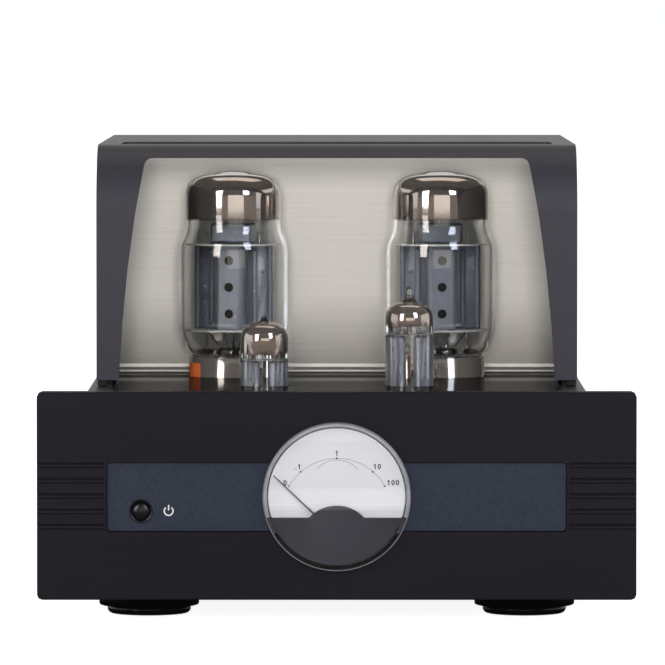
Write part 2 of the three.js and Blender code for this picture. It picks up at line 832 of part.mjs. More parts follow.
function tubeDeck() {
  const plateTop = hoodTop - hoodSheet - fit;
  const profile = new THREE.Shape();
  profile.moveTo(deckFront, deckTop);
  profile.lineTo(deckFront, deckBottom);
  profile.absarc(plateFront - bendRadius, deckTop + bendRadius, bendRadius + sheet, -Math.PI / 2, 0);
  profile.lineTo(plateFront + sheet, plateTop);
  profile.lineTo(plateFront, plateTop);
  profile.absarc(plateFront - bendRadius, deckTop + bendRadius, bendRadius, 0, -Math.PI / 2, true);
  const blank = alongX(profile, -plateHalfWidth, plateHalfWidth, curveSteps);
  const waste = (side) => {
    const shape = new THREE.Shape();
    shape.moveTo(side * deckFrontHalfWidth, deckFront);
    shape.quadraticCurveTo(side * deckTaperX, deckTaperDepth, side * plateHalfWidth, deckTaperEnd);
    shape.lineTo(side * (plateHalfWidth + overrun), deckTaperEnd);
    shape.lineTo(side * (plateHalfWidth + overrun), deckFront - overrun);
    shape.lineTo(side * deckFrontHalfWidth, deckFront - overrun);
    return alongZ(shape, deckBottom - overrun, deckTop + overrun, curveSteps);
  };
  const slots = [];
  for (const side of [-1, 1]) {
    for (let i = 0; i < slotCount; i += 1) {
      const depth = powerTubeDepth + (i - (slotCount - 1) / 2) * slotPitch;
      slots.push(alongZ(
        roundedRectangle(slotLength, slotWidth, slotWidth / 2, side * slotX, depth),
        deckBottom - overrun,
        deckTop + overrun,
      ));
    }
  }
  const holes = tubeHoleCutters(deckTop, socketHoleMargin, wideSteps);
  return piece('tube_deck', cut(blank, waste(-1), waste(1), ...slots, ...holes), finishes.polishedSteel);
}

// Side view of the hood, inset by the sheet for its hollow
function hoodOutline(inset, bottom) {
  const [front, back, top] = [hoodFront + inset, hoodBack - inset, hoodTop - inset];
  const shape = new THREE.Shape();
  shape.moveTo(front, bottom);
  shape.lineTo(back, bottom);
  shape.absarc(
    back - hoodRearRadius + inset,
    top - hoodRearRadius + inset,
    hoodRearRadius - inset,
    0,
    Math.PI / 2,
  );
  shape.absarc(
    front + hoodFrontRadius - inset,
    top - hoodFrontRadius + inset,
    hoodFrontRadius - inset,
    Math.PI / 2,
    Math.PI,
  );
  return shape;
}

// Opening in the front of the hood: sides that lean in and curve, rounded upper corners
function hoodWindow() {
  const shape = new THREE.Shape();
  shape.moveTo(-frameHalfWidth, hoodBottom - overrun);
  shape.lineTo(frameHalfWidth, hoodBottom - overrun);
  shape.lineTo(frameHalfWidth, hoodBottom);
  shape.quadraticCurveTo(
    frameBulgeX,
    hoodBottom + frameBulgeHeight,
    frameShoulderX,
    hoodBottom + frameShoulderHeight,
  );
  shape.quadraticCurveTo(
    frameCornerX,
    hoodBottom + frameTopHeight,
    frameTopHalfWidth,
    hoodBottom + frameTopHeight,
  );
  shape.lineTo(-frameTopHalfWidth, hoodBottom + frameTopHeight);
  shape.quadraticCurveTo(
    -frameCornerX,
    hoodBottom + frameTopHeight,
    -frameShoulderX,
    hoodBottom + frameShoulderHeight,
  );
  shape.quadraticCurveTo(
    -frameBulgeX,
    hoodBottom + frameBulgeHeight,
    -frameHalfWidth,
    hoodBottom,
  );
  return alongY(shape, hoodFront - overrun, roofSlotFront, curveSteps);
}

function hood() {
  const half = hoodWidth / 2;
  const outside = alongX(hoodOutline(0, hoodBottom), -half, half, curveSteps);
  const hollow = alongX(
    hoodOutline(hoodSheet, hoodBottom - overrun),
    -half + hoodSheet,
    half - hoodSheet,
    curveSteps,
  );
  const slotMiddle = (roofSlotFront + roofSlotBack) / 2;
  const roofSlot = alongZ(
    roundedRectangle(roofSlotHalfWidth * 2, roofSlotBack - roofSlotFront, roofSlotCorner, 0, slotMiddle),
    hoodTop - overrun,
    hoodTop + overrun,
  );
  return piece('hood', cut(outside, hollow, hoodWindow(), roofSlot), finishes.powderBlack);
}

function hoodGaskets() {
  const strip = (side) => {
    const outer = side * (hoodWidth / 2 - fit);
    const inner = outer - side * gasketWidth;
    return block(
      [Math.min(inner, outer), hoodFront + gasketSetback, chassisTop + fit],
      [Math.max(inner, outer), hoodBack - gasketSetback, hoodBottom - fit],
    );
  };
  return groupOf(
    piece('hood_gasket_left', strip(-1), finishes.rubber),
    piece('hood_gasket_right', strip(1), finishes.rubber),
  );
}

function feet() {
  const top = baseBottom - fit;
  const foot = turnZ([
    [0, 0],
    [footRadius - footEdge, 0],
    [footRadius, footEdge],
    [footRadius, footStepHeight],
    [footFlangeRadius - footEdge / 2, footStepHeight],
    [footFlangeRadius, footStepHeight + footEdge / 2],
    [footFlangeRadius, top],
    [0, top],
  ], middleSteps);
  const places = {
    foot_front_left: [-footX, footFrontDepth],
    foot_front_right: [footX, footFrontDepth],
    foot_rear_left: [-footX, footRearDepth],
    foot_rear_right: [footX, footRearDepth],
  };
  return groupOf(...Object.entries(places).map(([name, [x, depth]]) => {
    const mesh = piece(name, foot, finishes.footBlack);
    mesh.position.set(x, depth, 0);
    return mesh;
  }));
}

function powerBulb() {
  const outline = new THREE.Path();
  const seatRadius = tubeInnerRadius - fit;
  outline.moveTo(seatRadius, bulbBottom);
  outline.lineTo(seatRadius, tubeBaseTop + fit);
  outline.quadraticCurveTo(bulbRadius, bulbLowerStart / 2, bulbRadius, bulbLowerStart);
  outline.lineTo(bulbRadius, bulbShoulderStart);
  const shoulder = (bulbShoulderEnd - bulbShoulderStart) / 2;
  outline.bezierCurveTo(
    bulbRadius,
    bulbShoulderStart + shoulder,
    bulbTopRadius,
    bulbShoulderEnd - shoulder,
    bulbTopRadius,
    bulbShoulderEnd,
  );
  outline.lineTo(bulbTopRadius, bulbDomeStart);
  outline.quadraticCurveTo(
    bulbTopRadius,
    bulbTop - bulbDomeFlatDrop * 2,
    bulbDomeFlatRadius,
    bulbTop - bulbDomeFlatDrop,
  );
  outline.quadraticCurveTo(bulbDomeFlatRadius / 2, bulbTop, 0, bulbTop);
  const outer = curvePoints(outline, curveSteps - 1);
  const inner = wallProfile(curvePoints(outline, innerSteps), bulbWall).reverse();
  inner.pop();
  const floor = bulbBottom + bulbWall;
  return turnZ([
    [0, bulbTop - bulbWall],
    ...inner.slice(1),
    [seatRadius - bulbWall, floor],
    [stemRadius, floor],
    [pinchRadius, pinchTop],
    [exhaustRadius, pinchTop],
    [exhaustRadius, bulbBottom],
    ...outer,
  ], middleSteps);
}

// Anode with its barrel and wings, between two mica discs, with the shield and the getter on top
function powerElectrodes() {
  const barrel = roundedRectangle(anodeBarrelWidth, anodeBarrelDepth, anodeBarrelCorner);
  const bore = roundedRectangle(
    anodeBarrelWidth - anodeWall * 2,
    anodeBarrelDepth - anodeWall * 2,
    anodeBarrelCorner - anodeWall,
  );
  const wings = block(
    [-anodeHalfWidth, -anodeWing / 2, anodeBottom],
    [anodeHalfWidth, anodeWing / 2, anodeTop],
  );
  const hollow = alongZ(bore, anodeBottom - overrun, anodeTop + overrun);
  const holes = Array.from({ length: anodeHoleCount }, (_, i) => {
    const height = (anodeBottom + anodeTop) / 2 + (i - (anodeHoleCount - 1) / 2) * anodeHolePitch;
    return rodY(anodeHoleRadius, -anodeBarrelDepth, 0, narrowSteps).translate(0, 0, height);
  });
  const anode = cut(join(alongZ(barrel, anodeBottom, anodeTop), wings), hollow, ...holes);
  const mica = (bottom) => rodZ(micaRadius, bottom, bottom + micaThickness, narrowSteps);
  const shieldBottom = anodeTop + micaThickness / 2;
  const shield = block(
    [-shieldWidth / 2, -shieldDepth / 2, shieldBottom],
    [shieldWidth / 2, shieldDepth / 2, shieldBottom + shieldHeight],
  );
  const leads = [-1, 1].map((side) => {
    return rodZ(leadRadius, pinchTop + fit, anodeBottom, pinSteps).translate(side * leadX, 0, 0);
  });
  const post = rodZ(leadRadius, shieldBottom, getterHeight, pinSteps);
  const getter = rodZ(getterRadius, getterHeight - getterThickness, getterHeight, narrowSteps);
  return join(
    anode,
    mica(anodeBottom - micaThickness / 2),
    mica(anodeTop - micaThickness / 2),
    shield,
    ...leads,
    post,
    getter,
  );
}

// Insulating disc with the eight pins and the keyed spigot
function octalPins() {
  const disc = rodZ(tubeInnerRadius - fit, tubeBaseBottom, tubeBaseBottom + pinDiscThickness, middleSteps);
  const pins = ringPlaces(octalPinCount, octalPinCircle).map(([x, y]) => {
    const pin = rodZ(octalPinRadius, tubeBaseBottom - octalPinLength, tubeBaseBottom + fit, pinSteps);
    return pin.translate(x, y, 0);
  });
  const spigot = rodZ(spigotRadius, tubeBaseBottom - spigotLength, tubeBaseBottom + fit, narrowSteps);
  const key = block(
    [-keyWidth / 2, 0, tubeBaseBottom - spigotLength],
    [keyWidth / 2, spigotRadius + keyReach, tubeBaseBottom + fit],
  );
  return join(disc, spigot, key, ...pins);
}

function octalSocket() {
  const bottom = boardOffset + fit;
  const body = rodZ(octalSocketRadius, bottom, octalSocketTop, middleSteps);
  const through = [bottom - overrun, octalSocketTop + overrun];
  const pinHoles = ringPlaces(octalPinCount, octalPinCircle).map(([x, y]) => {
    return rodZ(octalPinRadius + socketPinClearance, ...through, pinSteps).translate(x, y, 0);
  });
  const spigotHole = rodZ(spigotRadius + socketPinClearance, ...through, narrowSteps);
  const keyHalf = keyWidth / 2 + socketPinClearance;
  const keyway = block(
    [-keyHalf, 0, through[0]],
    [keyHalf, spigotRadius + keyReach + socketPinClearance, through[1]],
  );
  return cut(body, spigotHole, keyway, ...pinHoles);
}

function powerTube(side) {
  const shell = turnZ([
    [tubeInnerRadius, tubeBaseBottom],
    [tubeBaseRadius, tubeBaseBottom],
    [tubeBaseRadius, tubeBaseTop - tubeBaseEdge],
    [tubeBaseRadius - tubeBaseEdge, tubeBaseTop],
    [tubeInnerRadius, tubeBaseTop],
    [tubeInnerRadius, tubeBaseBottom],
  ], wideSteps);
  const group = groupOf(
    piece(`power_tube_${side}_base`, shell, finishes.chrome),
    piece(`power_tube_${side}_pins`, octalPins(), finishes.blackPlastic),
    piece(`power_tube_${side}_bulb`, powerBulb(), finishes.glass),
    piece(`power_tube_${side}_electrodes`, powerElectrodes(), finishes.anodeGrey),
    piece(`octal_socket_${side}`, octalSocket(), finishes.ceramic),
  );
  group.rotation.z = powerTubeTurns[side];
  group.position.set(side === 'left' ? -powerTubeX : powerTubeX, powerTubeDepth, deckTop);
  return group;
}

function smallBulb({ domeTop, tipTop }) {
  const outline = new THREE.Path();
  outline.moveTo(smallBulbRadius, smallBulbBottom);
  outline.lineTo(smallBulbRadius, domeTop - smallDomeHeight);
  outline.bezierCurveTo(
    smallBulbRadius,
    domeTop - smallDomeHeight + smallDomeLift,
    tipShoulderRadius,
    domeTop,
    tipRadius,
    domeTop,
  );
  outline.quadraticCurveTo(tipRadius, tipTop, 0, tipTop);
  const outer = curvePoints(outline, curveSteps);
  const bodyPoints = outer.filter(([r, z]) => r > tipRadius && z < domeTop);
  const inner = wallProfile([...bodyPoints, [tipRadius, domeTop]], smallBulbWall).reverse();
  inner[inner.length - 1] = [smallBulbRadius - smallBulbWall, smallBulbBottom];
  return turnZ([[0, domeTop - smallBulbWall], ...inner.slice(1), ...outer], middleSteps);
}

// Glass button with nine pins, leaving a gap of one pin in the circle
function novalPins() {
  const disc = rodZ(
    smallBulbRadius - smallBulbWall - fit,
    smallBulbBottom,
    smallBulbBottom + buttonGlassThickness,
    middleSteps,
  );
  const pins = ringPlaces(novalPinCount, novalPinCircle, novalPinSpread).map(([x, y]) => {
    const pin = rodZ(novalPinRadius, smallBulbBottom - novalPinLength, smallBulbBottom + fit, pinSteps);
    return pin.translate(x, y, 0);
  });
  return join(disc, ...pins);
}

function smallElectrodes({ platesTop, domeTop }) {
  const mica = (bottom) => rodZ(smallMicaRadius, bottom, bottom + micaThickness, narrowSteps);
  const plates = [-1, 1].map((side) => {
    const inner = side * smallPlateGap / 2;
    const outer = side * (smallPlateGap / 2 + smallPlateWidth);
    return block(
      [Math.min(inner, outer), -smallPlateDepth / 2, smallPlateBottom],
      [Math.max(inner, outer), smallPlateDepth / 2, platesTop],
    );
  });
  const leadBottom = smallBulbBottom + buttonGlassThickness + fit;
  const leads = [-1, 1].map((side) => {
    return rodZ(smallLeadRadius, leadBottom, smallPlateBottom, pinSteps).translate(side * leadX, 0, 0);
  });
  const getterTop = domeTop - smallGetterDrop;
  const post = rodZ(smallLeadRadius, platesTop, getterTop, pinSteps);
  const getter = rodZ(smallGetterRadius, getterTop - micaThickness, getterTop, narrowSteps);
  return join(
    mica(smallPlateBottom - micaThickness / 2),
    mica(platesTop - micaThickness / 2),
    ...plates,
    ...leads,
    post,
    getter,
  );
}

function novalSocket() {
  const bottom = boardOffset + fit;
  const body = rodZ(novalSocketRadius, bottom, novalSocketTop, middleSteps);
  const through = [bottom - overrun, novalSocketTop + overrun];
  const pinHoles = ringPlaces(novalPinCount, novalPinCircle, novalPinSpread).map(([x, y]) => {
    return rodZ(novalPinRadius + socketPinClearance, ...through, pinSteps).translate(x, y, 0);
  });
  return cut(body, ...pinHoles);
}

function smallTube(side) {
  const sizes = smallTubes[side];
  const group = groupOf(
    piece(`small_tube_${side}_bulb`, smallBulb(sizes), finishes.glass),
    piece(`small_tube_${side}_pins`, novalPins(), finishes.glass),
    piece(`small_tube_${side}_electrodes`, smallElectrodes(sizes), finishes.anodeGrey),
    piece(`noval_socket_${side}`, novalSocket(), finishes.ceramic),
  );
  group.position.set(side === 'left' ? -smallTubeX : smallTubeX, smallTubeDepth, deckTop);
  return group;
}

// Board with a post in each corner, running from one height to another
function boardWithPosts(half, front, back, bottom, postFrom, postTo) {
  const board = block([-half, front, bottom], [half, back, bottom + boardThickness]);
  const posts = [-1, 1].flatMap((side) => [front + postInset, back - postInset].map((depth) => {
    return rodZ(postRadius, postFrom, postTo, narrowSteps).translate(side * (half - postInset), depth, 0);
  }));
  return join(board, ...posts);
}

function electronics() {
  const boardBottom = boardTop - boardThickness;
  const driver = boardWithPosts(
    boardHalfWidth,
    boardFront,
    boardBack,
    boardBottom,
    boardBottom,
    chassisTop - sheet - fit,
  );
  const baseTop = baseBottom + sheet;
  const supplyBottom = baseTop + supplyRise;
  const supply = boardWithPosts(
    supplyHalfWidth,
    supplyFront,
    supplyBack,
    supplyBottom,
    baseTop + fit,
    supplyBottom + boardThickness,
  );
  const canBottom = supplyBottom + boardThickness + fit;
  const can = rodZ(capacitorRadius, canBottom, canBottom + capacitorHeight, middleSteps);
  const cans = { left: -capacitorX, right: capacitorX };
  return groupOf(
    piece('circuit_board', driver, finishes.boardGreen),
    piece('power_supply_board', supply, finishes.boardGreen),
    ...Object.entries(cans).map(([side, x]) => {
      const mesh = piece(`filter_capacitor_${side}`, can, finishes.capacitorBlack);
      mesh.position.set(x, capacitorDepth, 0);
      return mesh;
    }),
  );
}

// Laminated core with two windows, and a winding round its centre leg
function transformer(name, { x, depth, width, height, stack }) {
  const leg = width * legShare;
  const windowSpan = (width - leg * 2) / 2;
  const yoke = leg / 2;
  const core = block([-width / 2, -stack / 2, 0], [width / 2, stack / 2, height]);
  const windows = [-1, 1].map((side) => {
    const inner = side * leg / 2;
    const outer = side * (leg / 2 + windowSpan);
    return block(
      [Math.min(inner, outer), -stack, yoke],
      [Math.max(inner, outer), stack, height - yoke],
    );
  });
  const flange = block(
    [-width / 2, -stack / 2 - leg / 2, 0],
    [width / 2, stack / 2 + leg / 2, flangeThickness],
  );
  const coilWidth = leg + windowSpan * 2 - fit * 2;
  const coilDepth = stack + windowSpan * 2 - fit * 2;
  const coil = roundedRectangle(coilWidth, coilDepth, windowSpan / 2);
  coil.holes.push(roundedRectangle(leg + fit * 2, stack + fit * 2, fit));
  const winding = alongZ(coil, yoke + fit, height - yoke - fit);
  const group = groupOf(
    piece(`${name}_core`, join(cut(core, ...windows), flange), finishes.coreSteel),
    piece(`${name}_winding`, winding, finishes.winding),
  );
  group.position.set(x, depth, chassisTop + fit);
  return group;
}

// Mains inlet with its recess and contacts, and the fuse drawer below it
function mainsInlet() {
  const flange = alongY(
    roundedRectangle(inletFlangeWidth, inletFlangeHeight, inletCorner),
    fit,
    fit + inletFlangeThickness,
  );
  const body = alongY(
    roundedRectangle(inletBodyWidth, inletBodyHeight, inletCorner),
    -inletBodyDepth,
    fit + inletFlangeThickness / 2,
  );
  const face = fit + inletFlangeThickness;
  const mouth = alongY(
    roundedRectangle(inletMouthWidth, inletMouthHeight, inletCorner, 0, inletMouthRise),
    face - inletMouthDepth,
    face + overrun,
  );
  const contacts = [-1, 0, 1].map((place) => {
    const middle = inletMouthRise + (place === 0 ? contactDrop : -contactDrop);
    return block(
      [place * contactPitch - contactThickness / 2, face - inletMouthDepth - fit, middle - contactWidth / 2],
      [place * contactPitch + contactThickness / 2, face - contactSetback, middle + contactWidth / 2],
    );
  });
  const drawerHole = block(
    [-drawerWidth / 2 - fit, face - drawerLength - fit, -drawerDrop - drawerHeight / 2 - fit],
    [drawerWidth / 2 + fit, face + overrun, -drawerDrop + drawerHeight / 2 + fit],
  );
  const drawer = block(
    [-drawerWidth / 2, face - drawerLength, -drawerDrop - drawerHeight / 2],
    [drawerWidth / 2, face, -drawerDrop + drawerHeight / 2],
  );
  const grip = block(
    [-gripWidth / 2, face - overrun / 2, -drawerDrop - drawerHeight / 2 + drawerGrip],
    [gripWidth / 2, face + drawerGrip, -drawerDrop - drawerHeight / 2 + drawerGrip * 2],
  );
  const shell = cut(join(flange, body), mouth, drawerHole);
  const group = groupOf(
    piece('mains_inlet', join(shell, ...contacts), finishes.blackPlastic),
    piece('fuse_drawer', join(drawer, grip), finishes.blackPlastic),
  );
  group.position.set(inletX, rearPanelBack, inletHeight);
  return group;
}

function inputSocket() {
  const flangeBack = fit + inputFlangeThickness;
  const end = flangeBack + inputBarrelLength;
  const socket = turnY([
    [0, -inputShankLength],
    [inputShankRadius, -inputShankLength],
    [inputShankRadius, fit],
    [inputFlangeRadius, fit],
    [inputFlangeRadius, flangeBack],
    [inputBarrelRadius, flangeBack],
    [inputBarrelRadius, end],
    [inputBoreRadius, end],
    [inputBoreRadius, end - inputBoreDepth],
    [0, end - inputBoreDepth],
  ], narrowSteps);
  const mesh = piece('input_socket', socket, finishes.brass);
  mesh.position.set(inputX, rearPanelBack, inputHeight);
  return mesh;
}

// Speaker terminals: a fixed post with its stud, and a fluted cap that turns on the stud
function speakerTerminals() {
  const collarBack = fit + collarThickness;
  const studEnd = collarBack + studLength;
  const post = turnY([
    [0, -shankLength],
    [shankRadius, -shankLength],
    [shankRadius, fit],
    [collarRadius, fit],
    [collarRadius, collarBack - fit],
    [studRadius, collarBack - fit],
    [studRadius, studEnd],
    [0, studEnd],
  ], narrowSteps);
  const capFront = collarBack;
  const ridges = ringPlaces(capSides, capRadius);
  const grooves = ringPlaces(capSides, capRadius - capFluteDepth, (Math.PI * 2) / capSides, 1);
  const outline = new THREE.Shape(ridges.flatMap((ridge, i) => {
    return [new THREE.Vector2(...ridge), new THREE.Vector2(...grooves[i])];
  }));
  const bore = rodY(studRadius + fit * 2, capFront - overrun, studEnd + fit, narrowSteps);
  const cap = cut(alongY(outline, capFront, capFront + capLength), bore);
  return groupOf(...terminalXs.flatMap((x, i) => {
    const fixed = piece(`speaker_terminal_${i + 1}`, post, finishes.brass);
    const turning = piece(`terminal_cap_${i + 1}`, cap, finishes.blackPlastic);
    fixed.position.set(x, rearPanelBack, terminalHeight);
    turning.position.copy(fixed.position);
    return [fixed, turning];
  }));
}

// The whole amplifier, its depth centred on the origin
const amplifier = groupOf(
  frontPanel(),
  insertStrips(),
  meter(),
  powerSwitch(),
  chassisShell(),
  basePlate(),
  rearPanel(),
  tubeDeck(),
  hood(),
  hoodGaskets(),
  feet(),
  powerTube('left'),
  powerTube('right'),
  smallTube('left'),
  smallTube('right'),
  electronics(),
  transformer('mains_transformer', transformers.mains),
  transformer('output_transformer', transformers.output),
  transformer('choke', transformers.choke),
  mainsInlet(),
  inputSocket(),
  speakerTerminals(),
);
amplifier.position.y = -(depthFront + depthBack) / 2;

export default groupOf(amplifier);
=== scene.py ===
"""Dresses the tube power amplifier: finishes for its solids, and finer glass, dial, sheets and tubes."""

import logging
import math
from collections.abc import Callable
from dataclasses import dataclass
from enum import Enum
from typing import Any

import bmesh
import bpy
from mathutils import Matrix, Vector


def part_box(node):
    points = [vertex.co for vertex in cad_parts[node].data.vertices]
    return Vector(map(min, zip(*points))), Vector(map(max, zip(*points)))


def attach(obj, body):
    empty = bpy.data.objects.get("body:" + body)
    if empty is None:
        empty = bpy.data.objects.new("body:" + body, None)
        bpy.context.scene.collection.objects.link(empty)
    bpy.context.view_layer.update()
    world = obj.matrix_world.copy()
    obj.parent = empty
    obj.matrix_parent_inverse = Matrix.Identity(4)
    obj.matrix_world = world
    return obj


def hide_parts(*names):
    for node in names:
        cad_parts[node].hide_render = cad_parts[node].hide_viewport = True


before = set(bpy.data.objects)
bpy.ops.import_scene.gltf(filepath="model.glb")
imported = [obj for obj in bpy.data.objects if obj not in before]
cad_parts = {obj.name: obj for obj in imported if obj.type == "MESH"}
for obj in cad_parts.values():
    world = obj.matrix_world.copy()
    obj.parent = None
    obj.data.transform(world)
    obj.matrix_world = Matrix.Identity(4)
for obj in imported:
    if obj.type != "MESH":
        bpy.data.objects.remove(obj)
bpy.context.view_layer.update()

log = logging.getLogger("amplifier")

Point = tuple[float, float]
Place = tuple[float, float, float]
Piece = bpy.types.Object
Material = bpy.types.Material
Tree = bpy.types.NodeTree
Socket = bpy.types.NodeSocket

# A millimetre in metres, the deck's height and the y of the panel's front face in mm
MM = 0.001
DECK_TOP = 101.0
PANEL_FACE = -201.3


class Axis(Enum):
    """The axis that a turned piece stands on."""

    Z = "z"
    Y = "y"


class Side(Enum):
    """The two sides of the amplifier, each with the sign of its x."""

    LEFT = -1
    RIGHT = 1

    @property
    def word(self) -> str:
        """The side's name in the names of the nodes."""
        return self.name.lower()


def linear(colour: str) -> tuple[float, float, float, float]:
    """Turns an sRGB hex colour to linear values.

    Args:
        colour: The colour as written on a chart, such as "#24242b".

    Returns:
        Linear red, green, blue and an alpha of 1.
    """
    channels = [int(colour[i : i + 2], 16) / 255 for i in (1, 3, 5)]
    values = [c / 12.92 if c <= 0.04045 else ((c + 0.055) / 1.055) ** 2.4 for c in channels]
    return (*values, 1.0)


def add_node(
    tree: Tree, kind: str, settings: dict | None = None, links: dict | None = None
) -> bpy.types.Node:
    """Adds one shader node with its settings and links.

    Args:
        tree: The material's node tree.
        kind: The node's type name.
        settings: Values by attribute name in lower case, or by the input's name or number.
        links: Output sockets by the input's name or number.

    Returns:
        The new node.
    """
    made = tree.nodes.new(kind)
    for key, value in (settings or {}).items():
        if isinstance(key, str) and key[0].islower():
            setattr(made, key, value)
        else:
            made.inputs[key].default_value = value
    for key, source in (links or {}).items():
        tree.links.new(source, made.inputs[key])
    return made


def new_material(name: str) -> tuple[Material, Tree]:
    """Starts an empty node material.

    Args:
        name: The finish's name.

    Returns:
        The material and its tree.
    """
    material = bpy.data.materials.new(name)
    material.use_nodes = True
    material.node_tree.nodes.clear()
    return material, material.node_tree


def seen_white(tree: Tree, unseen: float, seen: float, glazed: float) -> Socket:
    """A strength that is high where the eye, a reflection or a view through glass meets it.

    Args:
        tree: The node tree.
        unseen: The strength for rays that light a surface.
        seen: The strength for rays that show the surface itself.
        glazed: The strength for rays that light a surface through glass, which the lamps don't reach.

    Returns:
        The socket with the strength.
    """
    path = add_node(tree, "ShaderNodeLightPath")
    direct = add_node(
        tree,
        "ShaderNodeMath",
        {"operation": "MAXIMUM"},
        {0: path.outputs["Is Camera Ray"], 1: path.outputs["Is Glossy Ray"]},
    )
    through = add_node(
        tree,
        "ShaderNodeMath",
        {"operation": "MAXIMUM"},
        {0: direct.outputs[0], 1: path.outputs["Is Transmission Ray"]},
    )
    scattered = add_node(
        tree, "ShaderNodeMath", {"operation": "GREATER_THAN", 1: 0.5}, {0: path.outputs["Diffuse Depth"]}
    )
    clear = add_node(tree, "ShaderNodeMix", {2: seen, 3: glazed}, {0: scattered.outputs[0]})
    strength = add_node(tree, "ShaderNodeMix", {2: unseen}, {0: through.outputs[0], 3: clear.outputs[0]})
    return strength.outputs[0]


def object_pattern(tree: Tree, cell: Place) -> Socket:
    """Object coordinates scaled so that one unit is one cell of the pattern.

    Args:
        tree: The material's node tree.
        cell: The cell's size along x, y and z, in mm.

    Returns:
        The socket with the pattern's coordinates.
    """
    coordinates = add_node(tree, "ShaderNodeTexCoord")
    scale = tuple(1 / (size * MM) for size in cell)
    mapping = add_node(tree, "ShaderNodeMapping", {"Scale": scale}, {"Vector": coordinates.outputs["Object"]})
    return mapping.outputs["Vector"]


@dataclass(frozen=True)
class GrainFinish:
    """An opaque surface whose colour, gloss and height vary with a fine grain and a broad cloud."""

    name: str
    colour: str
    second: str
    grain: Place = (0.6, 0.6, 0.6)
    detail: float = 3.0
    gloss: Point = (0.4, 0.55)
    height: float = 0.02
    cloud: float = 60.0
    cloud_share: float = 0.3
    metallic: float = 0.0
    ior: float = 1.5
    specular: float = 0.5

    def make(self) -> Material:
        """Builds the material.

        Returns:
            The material.
        """
        material, tree = new_material(self.name)
        fine = object_pattern(tree, self.grain)
        grain = add_node(
            tree,
            "ShaderNodeTexNoise",
            {"Scale": 1.0, "Detail": self.detail, "Roughness": 0.6},
            {"Vector": fine},
        )
        wide = object_pattern(tree, (self.cloud,) * 3)
        cloud = add_node(tree, "ShaderNodeTexNoise", {"Scale": 1.0, "Detail": 2.0}, {"Vector": wide})
        blend = add_node(
            tree, "ShaderNodeMix", {0: self.cloud_share}, {2: grain.outputs["Fac"], 3: cloud.outputs["Fac"]}
        )
        spread = add_node(
            tree, "ShaderNodeMapRange", {"From Min": 0.3, "From Max": 0.7}, {"Value": blend.outputs[0]}
        )
        colour = add_node(
            tree,
            "ShaderNodeMix",
            {"data_type": "RGBA", 6: linear(self.colour), 7: linear(self.second)},
            {0: spread.outputs[0]},
        )
        gloss = add_node(
            tree,
            "ShaderNodeMapRange",
            {"From Min": 0.3, "From Max": 0.7, "To Min": self.gloss[0], "To Max": self.gloss[1]},
            {"Value": grain.outputs["Fac"]},
        )
        bump = add_node(
            tree, "ShaderNodeBump", {"Distance": self.height * MM}, {"Height": grain.outputs["Fac"]}
        )
        settings = {"Metallic": self.metallic, "Specular IOR Level": self.specular}
        if not self.metallic:
            settings["IOR"] = self.ior
        shader = add_node(
            tree,
            "ShaderNodeBsdfPrincipled",
            settings,
            {
                "Base Color": colour.outputs[2],
                "Roughness": gloss.outputs[0],
                "Normal": bump.outputs["Normal"],
            },
        )
        add_node(tree, "ShaderNodeOutputMaterial", {}, {"Surface": shader.outputs[0]})
        return material


